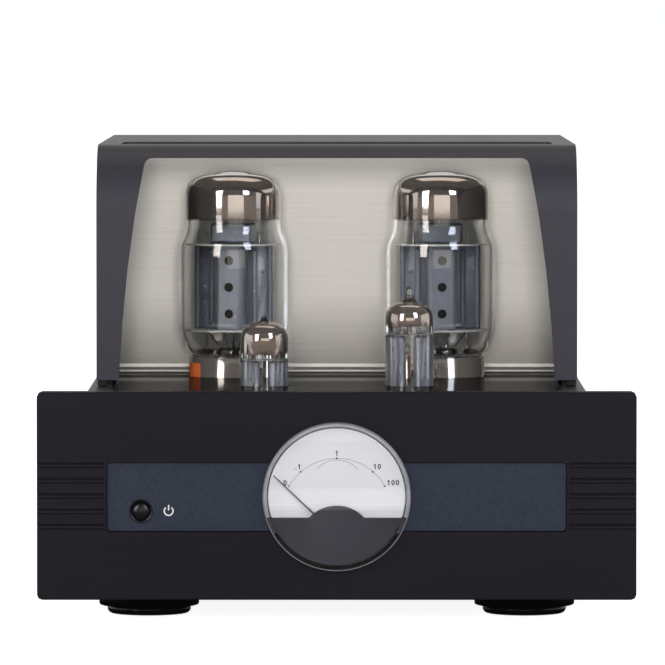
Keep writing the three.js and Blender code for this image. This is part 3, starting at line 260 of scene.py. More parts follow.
@dataclass(frozen=True)
class SheetFinish:
    """Steel sheet brushed from side to side above a height, and polished like a mirror below it.

    The polished part has a dark diffuse layer and a dark tint on its glancing reflection, both painted dark
    reflection. The metallic share falls with height above the change, which paints shade towards the bend,
    and the bend between the two parts shows two bright lines of painted highlight, where the sheet is nearly
    non-metallic, each given by its height above the change and half its width.
    """

    name: str
    brushed: Point
    polished: float
    height: float
    colours: tuple[str, str, str]
    change: float = 0.4
    stroke: Place = (45.0, 0.45, 0.45)
    depth: float = 0.012
    anisotropic: float = 0.95
    # Metallic share at the change and at fade above it: more metal low down paints shade towards the bend
    metals: Point = (0.95, 0.3)
    fade: float = 38.0
    # Dark tint of the polished deck's glancing reflection: painted dark reflection
    glance: str = "#2a2725"
    # Two bright lines at the bend, where the sheet is made nearly non-metallic: painted highlights
    bend_lines: tuple[Point, Point] = ((3.3, 0.75), (0.85, 0.3))
    bend_metallic: float = 0.1
    # Share and colour of a dark diffuse layer over the polished deck: painted dark reflection
    film: float = 0.4
    film_colour: str = "#191615"

    def make(self) -> Material:
        """Builds the material.

        Returns:
            The material.
        """
        material, tree = new_material(self.name)
        coordinates = add_node(tree, "ShaderNodeTexCoord")
        parts = add_node(tree, "ShaderNodeSeparateXYZ", {}, {"Vector": coordinates.outputs["Object"]})
        upper = add_node(
            tree,
            "ShaderNodeMapRange",
            {"From Min": self.height * MM, "From Max": (self.height + self.change) * MM},
            {"Value": parts.outputs["Z"]},
        )
        fine = object_pattern(tree, self.stroke)
        strokes = add_node(
            tree, "ShaderNodeTexNoise", {"Scale": 1.0, "Detail": 5.0, "Roughness": 0.6}, {"Vector": fine}
        )
        spread = add_node(
            tree, "ShaderNodeMapRange", {"From Min": 0.3, "From Max": 0.7}, {"Value": strokes.outputs["Fac"]}
        )
        first, second, mirror = (linear(colour) for colour in self.colours)
        sheet = add_node(
            tree, "ShaderNodeMix", {"data_type": "RGBA", 6: first, 7: second}, {0: spread.outputs[0]}
        )
        colour = add_node(
            tree,
            "ShaderNodeMix",
            {"data_type": "RGBA", 6: mirror},
            {0: upper.outputs[0], 7: sheet.outputs[2]},
        )
        gloss = add_node(
            tree,
            "ShaderNodeMapRange",
            {"To Min": self.brushed[0], "To Max": self.brushed[1]},
            {"Value": spread.outputs[0]},
        )
        rough = add_node(
            tree, "ShaderNodeMix", {2: self.polished}, {0: upper.outputs[0], 3: gloss.outputs[0]}
        )
        bump = add_node(
            tree,
            "ShaderNodeBump",
            {"Distance": self.depth * MM},
            {"Height": strokes.outputs["Fac"], "Strength": upper.outputs[0]},
        )
        # Dark specular tint on the polished part, white above it: painted dark reflection
        glance = add_node(
            tree,
            "ShaderNodeMix",
            {"data_type": "RGBA", 6: linear(self.glance), 7: (1, 1, 1, 1)},
            {0: upper.outputs[0]},
        )
        turned = add_node(
            tree, "ShaderNodeMath", {"operation": "MULTIPLY", 1: self.anisotropic}, {0: upper.outputs[0]}
        )
        # Metallic share that falls with height: painted shade, the sheet darker towards the bend
        painted_bend_shade = add_node(
            tree,
            "ShaderNodeMapRange",
            {
                "From Min": self.height * MM,
                "From Max": (self.height + self.fade) * MM,
                "To Min": self.metals[0],
                "To Max": self.metals[1],
            },
            {"Value": parts.outputs["Z"]},
        )
        # Nearly non-metallic bright lines at the bend: painted highlights
        lines = [
            add_node(
                tree,
                "ShaderNodeMath",
                {"operation": "COMPARE", 1: (self.height + middle) * MM, 2: half * MM},
                {0: parts.outputs["Z"]},
            )
            for middle, half in self.bend_lines
        ]
        bend = add_node(
            tree, "ShaderNodeMath", {"operation": "MAXIMUM"}, {0: lines[0].outputs[0], 1: lines[1].outputs[0]}
        )
        metal = add_node(
            tree, "ShaderNodeMix", {3: self.bend_metallic}, {0: bend.outputs[0], 2: painted_bend_shade.outputs[0]}
        )
        tangent = add_node(tree, "ShaderNodeTangent", {"direction_type": "UV_MAP", "uv_map": "grain"})
        shader = add_node(
            tree,
            "ShaderNodeBsdfPrincipled",
            {},
            {
                "Base Color": colour.outputs[2],
                "Metallic": metal.outputs[0],
                "Roughness": rough.outputs[0],
                "Normal": bump.outputs["Normal"],
                "Anisotropic": turned.outputs[0],
                "Tangent": tangent.outputs["Tangent"],
                "Specular Tint": glance.outputs[2],
            },
        )
        # A dark diffuse layer mixed over the polished part: painted dark reflection
        share = add_node(
            tree, "ShaderNodeMapRange", {"To Min": self.film, "To Max": 0.0}, {"Value": upper.outputs[0]}
        )
        film = add_node(tree, "ShaderNodeBsdfDiffuse", {"Color": linear(self.film_colour)})
        surface = add_node(
            tree, "ShaderNodeMixShader", {}, {0: share.outputs[0], 1: shader.outputs[0], 2: film.outputs[0]}
        )
        add_node(tree, "ShaderNodeOutputMaterial", {}, {"Surface": surface.outputs[0]})
        return material


@dataclass(frozen=True)
class ClearFinish:
    """Glass or clear acrylic with a faint waviness from its making."""

    name: str
    second: str
    wave: float
    height: float
    ior: float = 1.5
    tint: str = "#ffffff"

    def make(self) -> Material:
        """Builds the material.

        Returns:
            The material.
        """
        material, tree = new_material(self.name)
        wide = object_pattern(tree, (self.wave, self.wave, self.wave * 2))
        waves = add_node(tree, "ShaderNodeTexNoise", {"Scale": 1.0, "Detail": 1.0}, {"Vector": wide})
        tint = add_node(
            tree,
            "ShaderNodeMix",
            {"data_type": "RGBA", 6: linear(self.tint), 7: linear(self.second)},
            {0: waves.outputs["Fac"]},
        )
        bump = add_node(
            tree, "ShaderNodeBump", {"Distance": self.height * MM}, {"Height": waves.outputs["Fac"]}
        )
        shader = add_node(
            tree,
            "ShaderNodeBsdfPrincipled",
            {"Transmission Weight": 1.0, "Roughness": 0.0, "IOR": self.ior},
            {"Base Color": tint.outputs[2], "Normal": bump.outputs["Normal"]},
        )
        add_node(tree, "ShaderNodeOutputMaterial", {}, {"Surface": shader.outputs[0]})
        return material


@dataclass(frozen=True)
class GetterFinish:
    """The dark metal mirror that a getter leaves inside the glass, thinning out to a ragged lower edge."""

    name: str
    edge: float
    fade: float
    colour: str = "#c2b8b1"
    thin: str = "#6b5044"
    cloud: float = 5.0
    ragged: float = 0.8
    metallic: float = 0.8
    roughness: float = 0.06

    def make(self) -> Material:
        """Builds the material.

        Returns:
            The material.
        """
        material, tree = new_material(self.name)
        coordinates = add_node(tree, "ShaderNodeTexCoord")
        parts = add_node(tree, "ShaderNodeSeparateXYZ", {}, {"Vector": coordinates.outputs["Object"]})
        cells = object_pattern(tree, (self.cloud,) * 3)
        noise = add_node(tree, "ShaderNodeTexNoise", {"Scale": 1.0, "Detail": 2.0}, {"Vector": cells})
        level = add_node(
            tree,
            "ShaderNodeMath",
            {"operation": "MULTIPLY_ADD", 1: self.fade * MM * self.ragged},
            {0: noise.outputs["Fac"], 2: parts.outputs["Z"]},
        )
        cover = add_node(
            tree,
            "ShaderNodeMapRange",
            {"From Min": self.edge * MM, "From Max": (self.edge + self.fade) * MM},
            {"Value": level.outputs[0]},
        )
        colour = add_node(
            tree,
            "ShaderNodeMix",
            {"data_type": "RGBA", 6: linear(self.thin), 7: linear(self.colour)},
            {0: cover.outputs[0]},
        )
        shader = add_node(
            tree,
            "ShaderNodeBsdfPrincipled",
            {"Metallic": self.metallic, "Roughness": self.roughness},
            {"Base Color": colour.outputs[2], "Alpha": cover.outputs[0]},
        )
        add_node(tree, "ShaderNodeOutputMaterial", {}, {"Surface": shader.outputs[0]})
        return material


@dataclass(frozen=True)
class BandFinish:
    """A surface built up from thin layers or turns, such as a core of laminations or a wound coil."""

    name: str
    colour: str
    second: str
    pitch: float
    along: Place
    gloss: Point
    height: float

    def make(self) -> Material:
        """Builds the material.

        Returns:
            The material.
        """
        material, tree = new_material(self.name)
        coordinates = add_node(tree, "ShaderNodeTexCoord")
        stretch = add_node(
            tree,
            "ShaderNodeMapping",
            {"Scale": tuple(a / (self.pitch * MM) for a in self.along)},
            {"Vector": coordinates.outputs["Object"]},
        )
        bands = add_node(
            tree,
            "ShaderNodeTexWave",
            {
                "wave_type": "BANDS",
                "bands_direction": "DIAGONAL",
                "Scale": 0.5,
                "Distortion": 0.3,
                "Detail": 1.0,
            },
            {"Vector": stretch.outputs["Vector"]},
        )
        colour = add_node(
            tree,
            "ShaderNodeMix",
            {"data_type": "RGBA", 6: linear(self.second), 7: linear(self.colour)},
            {0: bands.outputs["Fac"]},
        )
        gloss = add_node(
            tree,
            "ShaderNodeMapRange",
            {"To Min": self.gloss[1], "To Max": self.gloss[0]},
            {"Value": bands.outputs["Fac"]},
        )
        bump = add_node(
            tree, "ShaderNodeBump", {"Distance": self.height * MM}, {"Height": bands.outputs["Fac"]}
        )
        shader = add_node(
            tree,
            "ShaderNodeBsdfPrincipled",
            {},
            {
                "Base Color": colour.outputs[2],
                "Roughness": gloss.outputs[0],
                "Normal": bump.outputs["Normal"],
            },
        )
        add_node(tree, "ShaderNodeOutputMaterial", {}, {"Surface": shader.outputs[0]})
        return material


class Finishes:
    """Every finish of the amplifier, built once."""

    def __init__(self) -> None:
        """Builds all materials and keeps them by their short names."""
        finishes = {
            # Black anodised aluminium, brushed along the panel: satin, with fine level lines
            "panel": GrainFinish(
                "anodised_aluminium_brushed", "#17161b", "#1e1d23", grain=(26, 4, 0.35), detail=4,
                gloss=(0.42, 0.55), height=0.012, cloud=120, cloud_share=0.35, specular=0.12
            ),
            # Blue-grey textured lacquer on aluminium: small bright flakes in a dull ground
            "insert": GrainFinish(
                "speckled_lacquer", "#212631", "#2f3646", grain=(0.9, 0.9, 0.9), detail=6,
                gloss=(0.5, 0.65), height=0.03, cloud=40, cloud_share=0.15, specular=0.2
            ),
            # Moulded black ABS: half gloss, with soft highlights
            "black_plastic": GrainFinish(
                "moulded_black_abs", "#0f0f12", "#17171b", grain=(0.5, 0.5, 0.5), gloss=(0.22, 0.34),
                height=0.01, cloud=30
            ),
            # Red ABS of the live terminal's cap, with the same gloss
            "red_plastic": GrainFinish(
                "moulded_red_abs", "#8e1a17", "#a3221d", grain=(0.5, 0.5, 0.5), gloss=(0.22, 0.34),
                height=0.01, cloud=30
            ),
            # Black-oxide steel of the casework's screws: dark, with a dull metal shine
            "screw": GrainFinish(
                "black_oxide_steel", "#2a2a2e", "#3a3a3f", gloss=(0.3, 0.42), height=0.006, cloud=8,
                cloud_share=0.4, metallic=0.8
            ),
            # White printed card of the dial: matt and even
            "dial_white": GrainFinish(
                "dial_card_white", "#f2f3f6", "#fbfbfc", grain=(0.4, 0.4, 0.4), detail=4,
                gloss=(0.6, 0.75), height=0.004, cloud=25, cloud_share=0.5
            ),
            # Moulded dark grey polystyrene over the lower half of the dial: matt
            "dial_mask": GrainFinish(
                "moulded_grey_polystyrene", "#444249", "#4f4d54", grain=(0.5, 0.5, 0.5), gloss=(0.4, 0.5),
                height=0.006, cloud=30, cloud_share=0.6, specular=0.2
            ),
            # Fine textured powder coat: a dull black with small crests that catch the light
            "powder_black": GrainFinish(
                "powder_coat_fine_texture", "#313138", "#3e3e47", grain=(0.7, 0.7, 0.7),
                gloss=(0.4, 0.52), height=0.05, cloud=90, cloud_share=0.25, specular=0.3
            ),
            # The same coat on the base plate and the rear panel, duller and without its lighter crests
            "powder_dull": GrainFinish(
                "powder_coat_dull", "#1c1c20", "#26262b", grain=(0.8, 0.8, 0.8), gloss=(0.55, 0.7),
                height=0.05, cloud_share=0.25
            ),
            # Nickel-plated brass of the tube base, polished with faint drawing marks
            "tube_base": GrainFinish(
                "nickel_plate_polished", "#a39e98", "#b3aeaa", grain=(9, 9, 0.5), gloss=(0.07, 0.13),
                height=0.002, cloud=20, metallic=0.75
            ),
            # Carbonised nickel of the anode: blue-grey, dull
            "electrode": GrainFinish(
                "carbonised_nickel", "#727884", "#848a97", grain=(1.6, 1.6, 5), detail=4,
                gloss=(0.32, 0.42), height=0.01, cloud=18, cloud_share=0.4, metallic=0.4
            ),
            # Plain nickel of the small tubes' anodes: lighter, pressed
            "plates": GrainFinish(
                "nickel_pressed", "#c6c9d4", "#d6d9e2", grain=(1.4, 1.4, 4), gloss=(0.26, 0.36),
                height=0.008, cloud=12, cloud_share=0.4, metallic=0.4
            ),
            # Carbon-coated wire of the grids inside the anode: a dead black behind its holes
            "carbon": GrainFinish(
                "carbon_coat", "#08080a", "#111114", grain=(0.8, 0.8, 0.3), gloss=(0.6, 0.8), cloud=10,
                specular=0.1
            ),
            # Bright nickel of rods, posts and getter rings: small sharp highlights
            "nickel": GrainFinish(
                "nickel_bright", "#9a9ca3", "#b2b4ba", grain=(1.5, 1.5, 4), gloss=(0.15, 0.25),
                height=0.004, cloud=10, cloud_share=0.4, metallic=1.0
            ),
            # Mica of the spacers: milky flakes in layers
            "mica": GrainFinish(
                "mica_sheet", "#c9c7c0", "#e4e2dc", grain=(3, 3, 0.4), detail=5, gloss=(0.2, 0.35),
                cloud=9, cloud_share=0.5, ior=1.56
            ),
            # Nitrile rubber of the strips under the hood: dull black
            "rubber": GrainFinish(
                "nitrile_rubber", "#141415", "#1d1d1f", grain=(0.4, 0.4, 0.4), detail=4, gloss=(0.6, 0.8),
                cloud=20
            ),
            # Gloss black turned aluminium of the feet
            "foot": GrainFinish(
                "anodised_aluminium_turned", "#08080a", "#0f0f12", grain=(60, 60, 0.4), gloss=(0.2, 0.3),
                height=0.006, cloud=30, cloud_share=0.2, specular=0.3
            ),
            # White steatite of the tube sockets: warm, nearly matt
            "ceramic": GrainFinish(
                "steatite_ceramic", "#e2dfd6", "#efece4", grain=(0.5, 0.5, 0.5), detail=4,
                gloss=(0.3, 0.45), height=0.01, cloud=14, cloud_share=0.4
            ),
            # Green glass-epoxy board, with a faint cloudiness from its layers
            "board": GrainFinish(
                "glass_epoxy_board", "#1d4a34", "#2b6145", grain=(0.7, 0.7, 0.7), detail=5,
                gloss=(0.3, 0.45), height=0.01, cloud=12, cloud_share=0.5
            ),
            # Shrunk PVC sleeve of the capacitors: smooth dark blue
            "capacitor": GrainFinish(
                "capacitor_sleeve_pvc", "#1c2440", "#27315a", grain=(8, 8, 8), gloss=(0.25, 0.35),
                height=0.01, cloud=20, cloud_share=0.4
            ),
            # Gold-plated brass of pins, terminals and the meter's movement: warm and bright
            "brass": GrainFinish(
                "brass_gold_plate", "#c79a4b", "#dcb469", grain=(1.2, 1.2, 1.2), detail=4,
                gloss=(0.14, 0.24), height=0.004, cloud=10, metallic=1.0
            ),
            # Chromed brass of the input socket: bright, with sharp reflections
            "chrome": GrainFinish(
                "chrome_plate", "#bcbdc2", "#cccdd1", grain=(1.2, 1.2, 1.2), gloss=(0.05, 0.12),
                height=0.002, cloud=10, metallic=1.0
            ),
            # Pale grey ink on the insert and the dial's rim, matt
            "print_pale": GrainFinish(
                "screen_ink_pale_grey", "#c3c4c8", "#d2d3d6", grain=(0.2, 0.2, 0.2), gloss=(0.5, 0.6),
                height=0.002, cloud=3, cloud_share=0.5
            ),
            # Dark ink of the dial's numbers and dots
            "print_dark": GrainFinish(
                "screen_ink_dark_grey", "#1b1c21", "#2a2b31", grain=(0.2, 0.2, 0.2), gloss=(0.5, 0.6),
                height=0.002, cloud=3, cloud_share=0.5
            ),
            # Mid grey ink of the dial's thin arcs
            "print_grey": GrainFinish(
                "screen_ink_mid_grey", "#8f9097", "#9fa0a7", grain=(0.2, 0.2, 0.2), gloss=(0.5, 0.6),
                height=0.002, cloud=3, cloud_share=0.5
            ),
            # The lathe-turned edge of the acrylic cover, left satin: pale, scattering
            "cover_edge": GrainFinish(
                "turned_acrylic_edge", "#6d6e72", "#7d7e82", grain=(3, 3, 3), gloss=(0.3, 0.45),
                height=0.004, cloud=12, cloud_share=0.5
            ),
            # Grey lacquered needle: matt, so that it stays even as it swings
            "needle": GrainFinish(
                "needle_lacquer_grey", "#4a4b52", "#5a5b62", grain=(0.3, 2, 2), gloss=(0.4, 0.5),
                height=0.002, cloud=5, cloud_share=0.4
            ),
            # Orange paper label on the tube base: matt, with a faint fibre
            "label": GrainFinish(
                "paper_label_orange", "#d8632f", "#e57a45", grain=(0.5, 0.5, 0.5), detail=5,
                gloss=(0.5, 0.65), height=0.01, cloud=4, cloud_share=0.6
            ),
            # Stainless steel sheet: the back plate brushed from side to side, the deck polished; painted dark
            # reflection on the deck, painted highlight lines at the bend and painted shade towards the bend
            "steel_sheet": SheetFinish(
                "stainless_steel_sheet",
                brushed=(0.28, 0.36),
                polished=0.05,
                height=DECK_TOP + 0.05,
                colours=("#d8d7d3", "#e6e5e1", "#cdc7c0"),
            ),
            # Blown soda-lime glass of the tubes: clear, a little wavy
            "tube_glass": ClearFinish("blown_glass", "#f8faf9", wave=11, height=0.02),
            # Cast acrylic of the meter cover: clear and nearly flat
            "clear_cover": ClearFinish("cast_acrylic", "#fbfcfd", wave=16, height=0.004, ior=1.49),
            # Stacked silicon steel, with the edges of the sheets showing
            "lamination": BandFinish(
                "silicon_steel_stack", "#2a2a2e", "#131316", pitch=1.0, along=(0, 1, 0),
                gloss=(0.4, 0.6), height=0.1
            ),
            # Layers of lacquered copper wire under clear tape
            "winding": BandFinish(
                "lacquered_copper_winding", "#a8552a", "#5f2a12", pitch=0.9, along=(0, 0, 1),
                gloss=(0.25, 0.5), height=0.2
            ),
        }
        self.by_name: dict[str, Material] = {key: finish.make() for key, finish in finishes.items()}

    def __getitem__(self, key: str) -> Material:
        """The material with that short name."""
        return self.by_name[key]

    def dress_node(self, name: str, key: str) -> None:
        """Gives a node of the frame another finish, in the slots that it has.

        Args:
            name: The node's name.
            key: The finish's short name.
        """
        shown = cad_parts[name]
        for slot in shown.material_slots:
            slot.link = "OBJECT"
            slot.material = self[key]
        if not shown.material_slots:
            shown.data.materials.append(self[key])


class Bench:
    """The mesh tools of the script: a few steps that several pieces are modelled with."""

    @staticmethod
    def point(name: str) -> Piece:
        """Starts a piece as one vertex at the origin, in edit mode and selected.

        Args:
            name: The piece's name.

        Returns:
            The piece.
        """
        Bench.clear_selection()
        bpy.ops.mesh.primitive_plane_add(size=MM, location=(0, 0, 0))
        piece = bpy.context.object
        piece.name = name
        piece.data.name = name
        bpy.ops.object.mode_set(mode="EDIT")
        bpy.ops.mesh.select_mode(type="VERT")
        bpy.ops.mesh.select_all(action="SELECT")
        bpy.ops.mesh.merge(type="CENTER")
        return piece

    @staticmethod
    def clear_selection() -> None:
        """Leaves no object selected and no mode on."""
        if bpy.context.object and bpy.context.object.mode != "OBJECT":
            bpy.ops.object.mode_set(mode="OBJECT")
        bpy.ops.object.select_all(action="DESELECT")

    @staticmethod
    def take(piece: Piece) -> None:
        """Makes one object the only one selected, and active.

        Args:
            piece: The object.
        """
        Bench.clear_selection()
        piece.select_set(True)
        bpy.context.view_layer.objects.active = piece

    @staticmethod
    def settle(piece: Piece) -> Piece:
        """Puts an object's place, turn and scale into its mesh.

        Args:
            piece: The object.

        Returns:
            The same object.
        """
        Bench.take(piece)
        bpy.ops.object.transform_apply(location=True, rotation=True, scale=True)
        return piece

    @staticmethod
    def open_edit(piece: Piece, kind: str, test: Callable[[Any], bool]) -> None:
        """Opens a piece in edit mode with only those edges or faces selected that pass a test.

        Args:
            piece: The object.
            kind: "EDGE" or "FACE".
            test: Says whether one edge or face is selected.
        """
        Bench.take(piece)
        bpy.ops.object.mode_set(mode="EDIT")
        bpy.ops.mesh.select_mode(type=kind)
        bpy.ops.mesh.select_all(action="DESELECT")
        cells = bmesh.from_edit_mesh(piece.data)
        for cell in cells.edges if kind == "EDGE" else cells.faces:
            if test(cell):
                cell.select_set(True)
        bmesh.update_edit_mesh(piece.data)

    @staticmethod
    def apply(piece: Piece, kind: str, **settings: object) -> None:
        """Adds a modifier, sets it and applies it.

        Args:
            piece: The object.
            kind: The modifier's type.
            **settings: Values by the modifier's attribute names.
        """
        Bench.take(piece)
        modifier = piece.modifiers.new(kind.lower(), kind)
        for key, value in settings.items():
            setattr(modifier, key, value)
        bpy.ops.object.modifier_apply(modifier=modifier.name)

    @staticmethod
    def smooth(piece: Piece, angle: float = 35) -> Piece:
        """Shades a piece smooth, apart from edges sharper than the angle.

        Args:
            piece: The object.
            angle: The angle in degrees.

        Returns:
            The same object.
        """
        Bench.take(piece)
        bpy.ops.object.shade_smooth_by_angle(angle=math.radians(angle))
        return piece

    @staticmethod
    def round_edges(piece: Piece, width: float, segments: int = 2, angle: float = 35) -> None:
        """Rounds the sharp edges of a piece with a Bevel modifier.

        Args:
            piece: The object.
            width: The radius in mm.
            segments: The number of faces round an edge.
            angle: Edges sharper than this, in degrees, are rounded.
        """
        Bench.apply(
            piece,
            "BEVEL",
            width=width * MM,
            segments=segments,
            limit_method="ANGLE",
            angle_limit=math.radians(angle),
            use_clamp_overlap=True,
            harden_normals=False,
        )

    @staticmethod
    def turned(
        name: str, outline: list[Point], centre: Place, axis: Axis = Axis.Z, steps: int = 64
    ) -> Piece:
        """Turns an outline round an axis, as on a lathe.

        Args:
            name: The piece's name.
            outline: Radius and height of each point, in mm, from the centre.
            centre: The point on the axis that heights count from, in mm.
            axis: The axis to turn round; on Y a height counts along +Y.
            steps: The number of faces round the axis.

        Returns:
            The turned piece.
        """
        piece = Bench.point(name)
        start = outline[0]
        bpy.ops.transform.translate(value=(start[0] * MM, 0, start[1] * MM))
        last = start
        for point in outline[1:]:
            step = ((point[0] - last[0]) * MM, 0, (point[1] - last[1]) * MM)
            bpy.ops.mesh.extrude_vertices_move(TRANSFORM_OT_translate={"value": step})
            last = point
        bpy.ops.mesh.select_all(action="SELECT")
        bpy.ops.mesh.spin(steps=steps, angle=math.tau, center=(0, 0, 0), axis=(0, 0, 1))
        bpy.ops.mesh.select_all(action="SELECT")
        bpy.ops.mesh.remove_doubles(threshold=0.004 * MM)
        bpy.ops.mesh.select_all(action="SELECT")
        bpy.ops.mesh.normals_make_consistent(inside=False)
        bpy.ops.object.mode_set(mode="OBJECT")
        turn = Matrix.Identity(4)
        if axis is Axis.Y:
            turn = Matrix.Rotation(-math.pi / 2, 4, "X")
        piece.data.transform(Matrix.Translation(Vector(centre) * MM) @ turn)
        return Bench.smooth(piece, 40)

    @staticmethod
    def lay_grain(piece: Piece) -> None:
        """Gives a folded sheet a UV map whose u runs up and over its bend, across the brushing.

        Args:
            piece: The sheet.
        """
        tile = 100 * MM
        layer = piece.data.uv_layers.new(name="grain")
        for loop in piece.data.loops:
            place = piece.data.vertices[loop.vertex_index].co
            layer.data[loop.index].uv = ((place.y + place.z) / tile, place.x / tile)

    @staticmethod
    def bar(name: str, low: Place, high: Place, edge: float = 0.2, segments: int = 2) -> Piece:
        """A block between two corners, with rounded edges.

        Args:
            name: The piece's name.
            low: The lowest corner in mm.
            high: The highest corner in mm.
            edge: The radius of the edges in mm.
            segments: The number of faces round an edge.

        Returns:
            The block.
        """
        Bench.clear_selection()
        middle = (Vector(low) + Vector(high)) / 2 * MM
        size = (Vector(high) - Vector(low)) * MM
        bpy.ops.mesh.primitive_cube_add(size=1, location=middle, scale=size)
        piece = bpy.context.object
        piece.name = name
        piece.data.name = name
        Bench.settle(piece)
        if edge:
            bpy.ops.object.mode_set(mode="EDIT")
            bpy.ops.mesh.select_all(action="SELECT")
            bpy.ops.mesh.bevel(offset=edge * MM, segments=segments, affect="EDGES")
            bpy.ops.object.mode_set(mode="OBJECT")
        return Bench.smooth(piece)

    @staticmethod
    def flat_strip(name: str, line: list[Point], width: float) -> Piece:
        """A flat strip of even width along a straight line.

        Args:
            name: The piece's name.
            line: Its two ends, in mm.
            width: Its width in mm.

        Returns:
            The strip, flat in x and y.
        """
        Bench.clear_selection()
        start, end = (Vector((*p, 0)) for p in line)
        way = end - start
        bpy.ops.mesh.primitive_plane_add(size=1)
        piece = bpy.context.object
        piece.name = name
        turn = Matrix.Rotation(math.atan2(way.y, way.x), 4, "Z")
        shape = Matrix.Diagonal((way.length * MM, width * MM, 1, 1))
        piece.data.transform(Matrix.Translation((start + end) / 2 * MM) @ turn @ shape)
        return piece

    @staticmethod
    def rod(name: str, start: Place, end: Place, radius: float, steps: int = 12) -> Piece:
        """A round rod between two points, with rounded ends.

        Args:
            name: The piece's name.
            start: The middle of one end, in mm.
            end: The middle of the other end, in mm.
            radius: The radius in mm.
            steps: The number of faces round it.

        Returns:
            The rod.
        """
        way = Vector(end) - Vector(start)
        lip = min(radius * 0.4, way.length * 0.2)
        outline = [
            (0, 0), (radius - lip, 0), (radius, lip), (radius, way.length - lip),
            (radius - lip, way.length), (0, way.length),
        ]
        piece = Bench.turned(name, outline, (0, 0, 0), Axis.Z, steps)
        turn = way.to_track_quat("Z", "Y").to_matrix().to_4x4()
        piece.data.transform(Matrix.Translation(Vector(start) * MM) @ turn)
        return piece

    @staticmethod
    def cut(piece: Piece, cutter: Piece) -> None:
        """Takes one piece's shape out of another, and removes the cutter.

        Args:
            piece: The piece that stays.
            cutter: The piece that is taken out of it.
        """
        Bench.apply(piece, "BOOLEAN", operation="DIFFERENCE", object=cutter, solver="EXACT")
        bpy.data.objects.remove(cutter)

    @staticmethod
    def join(name: str, pieces: list[Piece]) -> Piece:
        """Joins several pieces to one object.

        Args:
            name: The joined piece's name.
            pieces: The pieces, of which the first keeps its object.

        Returns:
            The joined piece.
        """
        Bench.take(pieces[0])
        for piece in pieces[1:]:
            piece.select_set(True)
        if len(pieces) > 1:
            bpy.ops.object.join()
        joined = bpy.context.object
        joined.name = name
        joined.data.name = name
        return joined

    @staticmethod
    def refined(name: str, node: str, edge: float = 0.0, segments: int = 2, angle: float = 35) -> Piece:
        """A finer copy of a node: its triangles merged to faces, its edges rounded, shaded smooth.

        Args:
            name: The piece's name.
            node: The node that it is taken from and stands for.
            edge: The radius of its sharp edges in mm.
            segments: The number of faces round an edge.
            angle: Edges sharper than this, in degrees, are rounded and stay sharp in shading.

        Returns:
            The piece, not yet riding on a body.
        """
        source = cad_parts[node]
        piece = bpy.data.objects.new(name, source.data.copy())
        piece.data.name = name
        bpy.context.scene.collection.objects.link(piece)
        Bench.take(piece)
        bpy.ops.object.mode_set(mode="EDIT")
        bpy.ops.mesh.select_all(action="SELECT")
        bpy.ops.mesh.remove_doubles(threshold=0.002 * MM)
        bpy.ops.mesh.select_all(action="SELECT")
        bpy.ops.mesh.dissolve_limited(angle_limit=math.radians(0.5), use_dissolve_boundaries=False)
        bpy.ops.object.mode_set(mode="OBJECT")
        for attribute in ("custom_normal", "sharp_edge", "sharp_face"):
            if attribute in piece.data.attributes:
                piece.data.attributes.remove(piece.data.attributes[attribute])
        if edge:
            Bench.round_edges(piece, edge, segments, angle)
            Bench.smooth(piece, angle)
            Bench.apply(piece, "WEIGHTED_NORMAL", mode="FACE_AREA", weight=100, keep_sharp=True)
            return piece
        return Bench.smooth(piece, angle)


def curve(start: Point, control: Point, end: Point, steps: int) -> list[Point]:
    """Points of a quadratic curve without its first point.

    Args:
        start: The first point.
        control: The control point.
        end: The last point.
        steps: The number of points that are returned.

    Returns:
        The points.
    """
    points = []
    for i in range(1, steps + 1):
        t = i / steps
        points.append(
            tuple((1 - t) ** 2 * s + 2 * (1 - t) * t * c + t * t * e for s, c, e in zip(start, control, end))
        )
    return points


def shoulder(start: Point, end: Point, steps: int) -> list[Point]:
    """Points of an S-shaped step between two radii, without its first point.

    Args:
        start: The lower point.
        end: The upper point.
        steps: The number of points that are returned.

    Returns:
        The points.
    """
    middle = (start[1] + end[1]) / 2
    points = []
    for i in range(1, steps + 1):
        t = i / steps
        weights = ((1 - t) ** 3, 3 * (1 - t) ** 2 * t, 3 * (1 - t) * t * t, t**3)
        corners = (start, (start[0], middle), (end[0], middle), end)
        points.append(tuple(sum(w * c[k] for w, c in zip(weights, corners)) for k in (0, 1)))
    return points


def inner_wall(outline: list[Point], wall: float) -> list[Point]:
    """The inside of a wall whose outside is given, from the bottom to the top.

    Args:
        outline: The outer points from the bottom to the axis at the top.
        wall: The wall's thickness in mm.

    Returns:
        The inner points in the same order.
    """
    points = []
    for i, point in enumerate(outline):
        before = outline[max(i - 1, 0)]
        after = outline[min(i + 1, len(outline) - 1)]
        way = Vector((after[0] - before[0], after[1] - before[1])).normalized()
        if i == len(outline) - 1:
            way = Vector((-1, 0))
        points.append((max(point[0] - way.y * wall, 0.0), point[1] + way.x * wall))
    return points


@dataclass(frozen=True)
class SoftBox:
    """A rectangular lamp: its place and size in metres, its power in watts and its colour.

    A mirrored box is seen in metal and glass, and a lighting box lights the surfaces.
    """

    place: Place
    size: Point
    power: float
    colour: str
    mirrored: bool = True
    lighting: bool = False


@dataclass(frozen=True)
class Card:
    """A card that metal and glass mirror: its middle and size in metres, its colour and how bright it is."""

    place: Place
    size: Point
    colour: str
    strength: float = 1.0
    upright: bool = False


